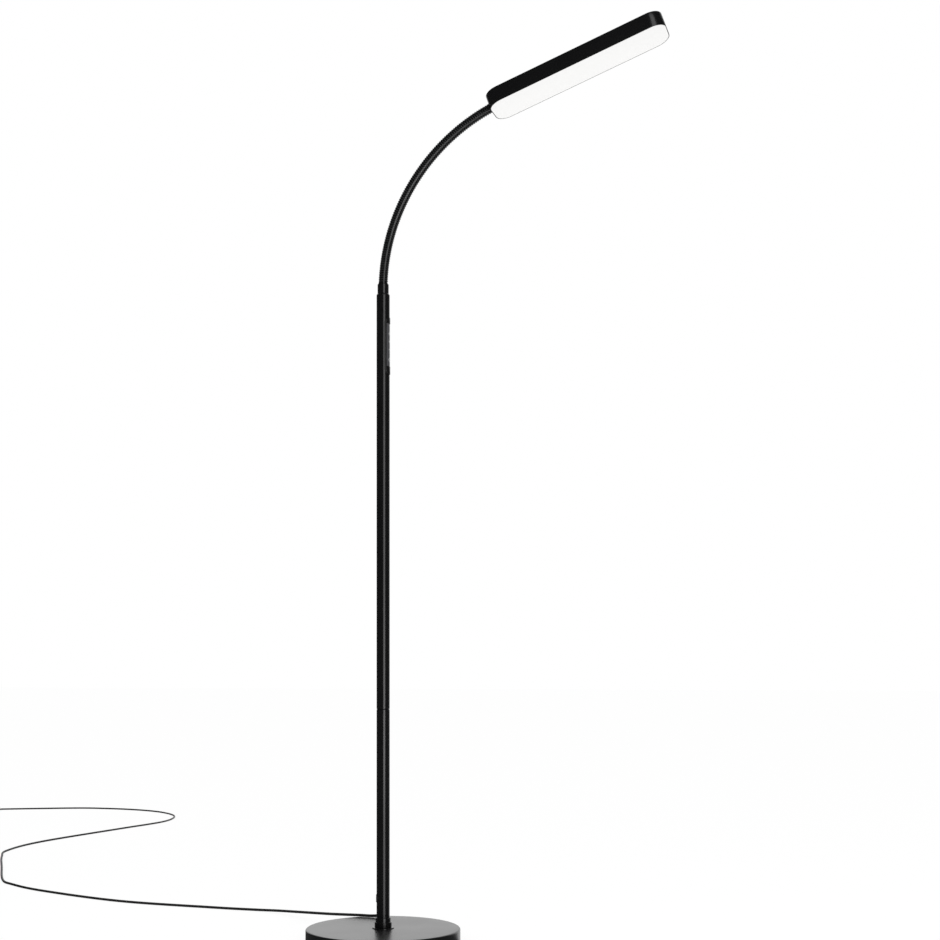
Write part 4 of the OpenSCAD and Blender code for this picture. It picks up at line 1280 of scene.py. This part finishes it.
class FLOORLAMP_OT_inner_parts(bpy.types.Operator):
    """Give the pieces inside the base, pole, neck and head their finishes"""

    bl_idname = "floorlamp.inner_parts"
    bl_label = "Inner parts"

    finishes = {
        "closed_foam": ["base_pad"],
        "black_plate": ["base_plate"],
        "zinc_steel": ["plate_screws", "base_bolt", "bolt_washer", "neck_nut", "head_screws"],
        "raw_casting": ["base_weight"],
        "turned_alloy": ["foot_spigot", "joint_socket", "joint_stud", "head_chassis"],
        "solder_mask": ["touch_board", "driver_board"],
        "cord_jacket": ["pole_lead", "neck_lead", "head_lead"],
        "satin_enamel": ["neck_root", "neck_tip"],
        "clear_guide": ["light_guide"],
        "white_sheet": ["reflector_sheet"],
        "phosphor": ["led_strips"],
    }

    def execute(self, context):
        for finish, nodes in self.finishes.items():
            for node in nodes:
                slots = frame["nodes"][node].data.materials
                slots.clear()
                slots.append(finish_named(finish))
        return {"FINISHED"}


class FLOORLAMP_PT_pieces(bpy.types.Panel):
    """The lamp's pieces and settings"""

    bl_idname = "FLOORLAMP_PT_pieces"
    bl_label = "Floor Lamp"
    bl_space_type = "VIEW_3D"
    bl_region_type = "UI"
    bl_category = "Floor Lamp"

    def draw(self, context):
        layout = self.layout
        for operator in OPERATORS:
            layout.operator(operator.bl_idname)
        for group in (context.scene.lamp_sizes, context.scene.lamp_colours, context.scene.lamp_studio):
            column = layout.column()
            for name in group.bl_rna.properties.keys():
                if name not in ("rna_type", "name"):
                    column.prop(group, name)


OPERATORS = (
    FLOORLAMP_OT_studio,
    FLOORLAMP_OT_cord,
    FLOORLAMP_OT_base,
    FLOORLAMP_OT_foot,
    FLOORLAMP_OT_pole,
    FLOORLAMP_OT_strain_relief,
    FLOORLAMP_OT_touch_strip,
    FLOORLAMP_OT_neck,
    FLOORLAMP_OT_head,
    FLOORLAMP_OT_adapter,
    FLOORLAMP_OT_inner_parts,
)
GROUPS = (
    (LampSizes, "lamp_sizes"),
    (LampColours, "lamp_colours"),
    (StudioSettings, "lamp_studio"),
)


def register():
    for group, name in GROUPS:
        bpy.utils.register_class(group)
        setattr(bpy.types.Scene, name, PointerProperty(type=group))
    for operator in OPERATORS:
        bpy.utils.register_class(operator)
    bpy.utils.register_class(FLOORLAMP_PT_pieces)


def unregister():
    bpy.utils.unregister_class(FLOORLAMP_PT_pieces)
    for operator in reversed(OPERATORS):
        bpy.utils.unregister_class(operator)
    for group, name in reversed(GROUPS):
        delattr(bpy.types.Scene, name)
        bpy.utils.unregister_class(group)


def main():
    register()
    for operator in OPERATORS:
        area, name = operator.bl_idname.split(".")
        getattr(getattr(bpy.ops, area), name)()


if __name__ == "__main__":
    main()
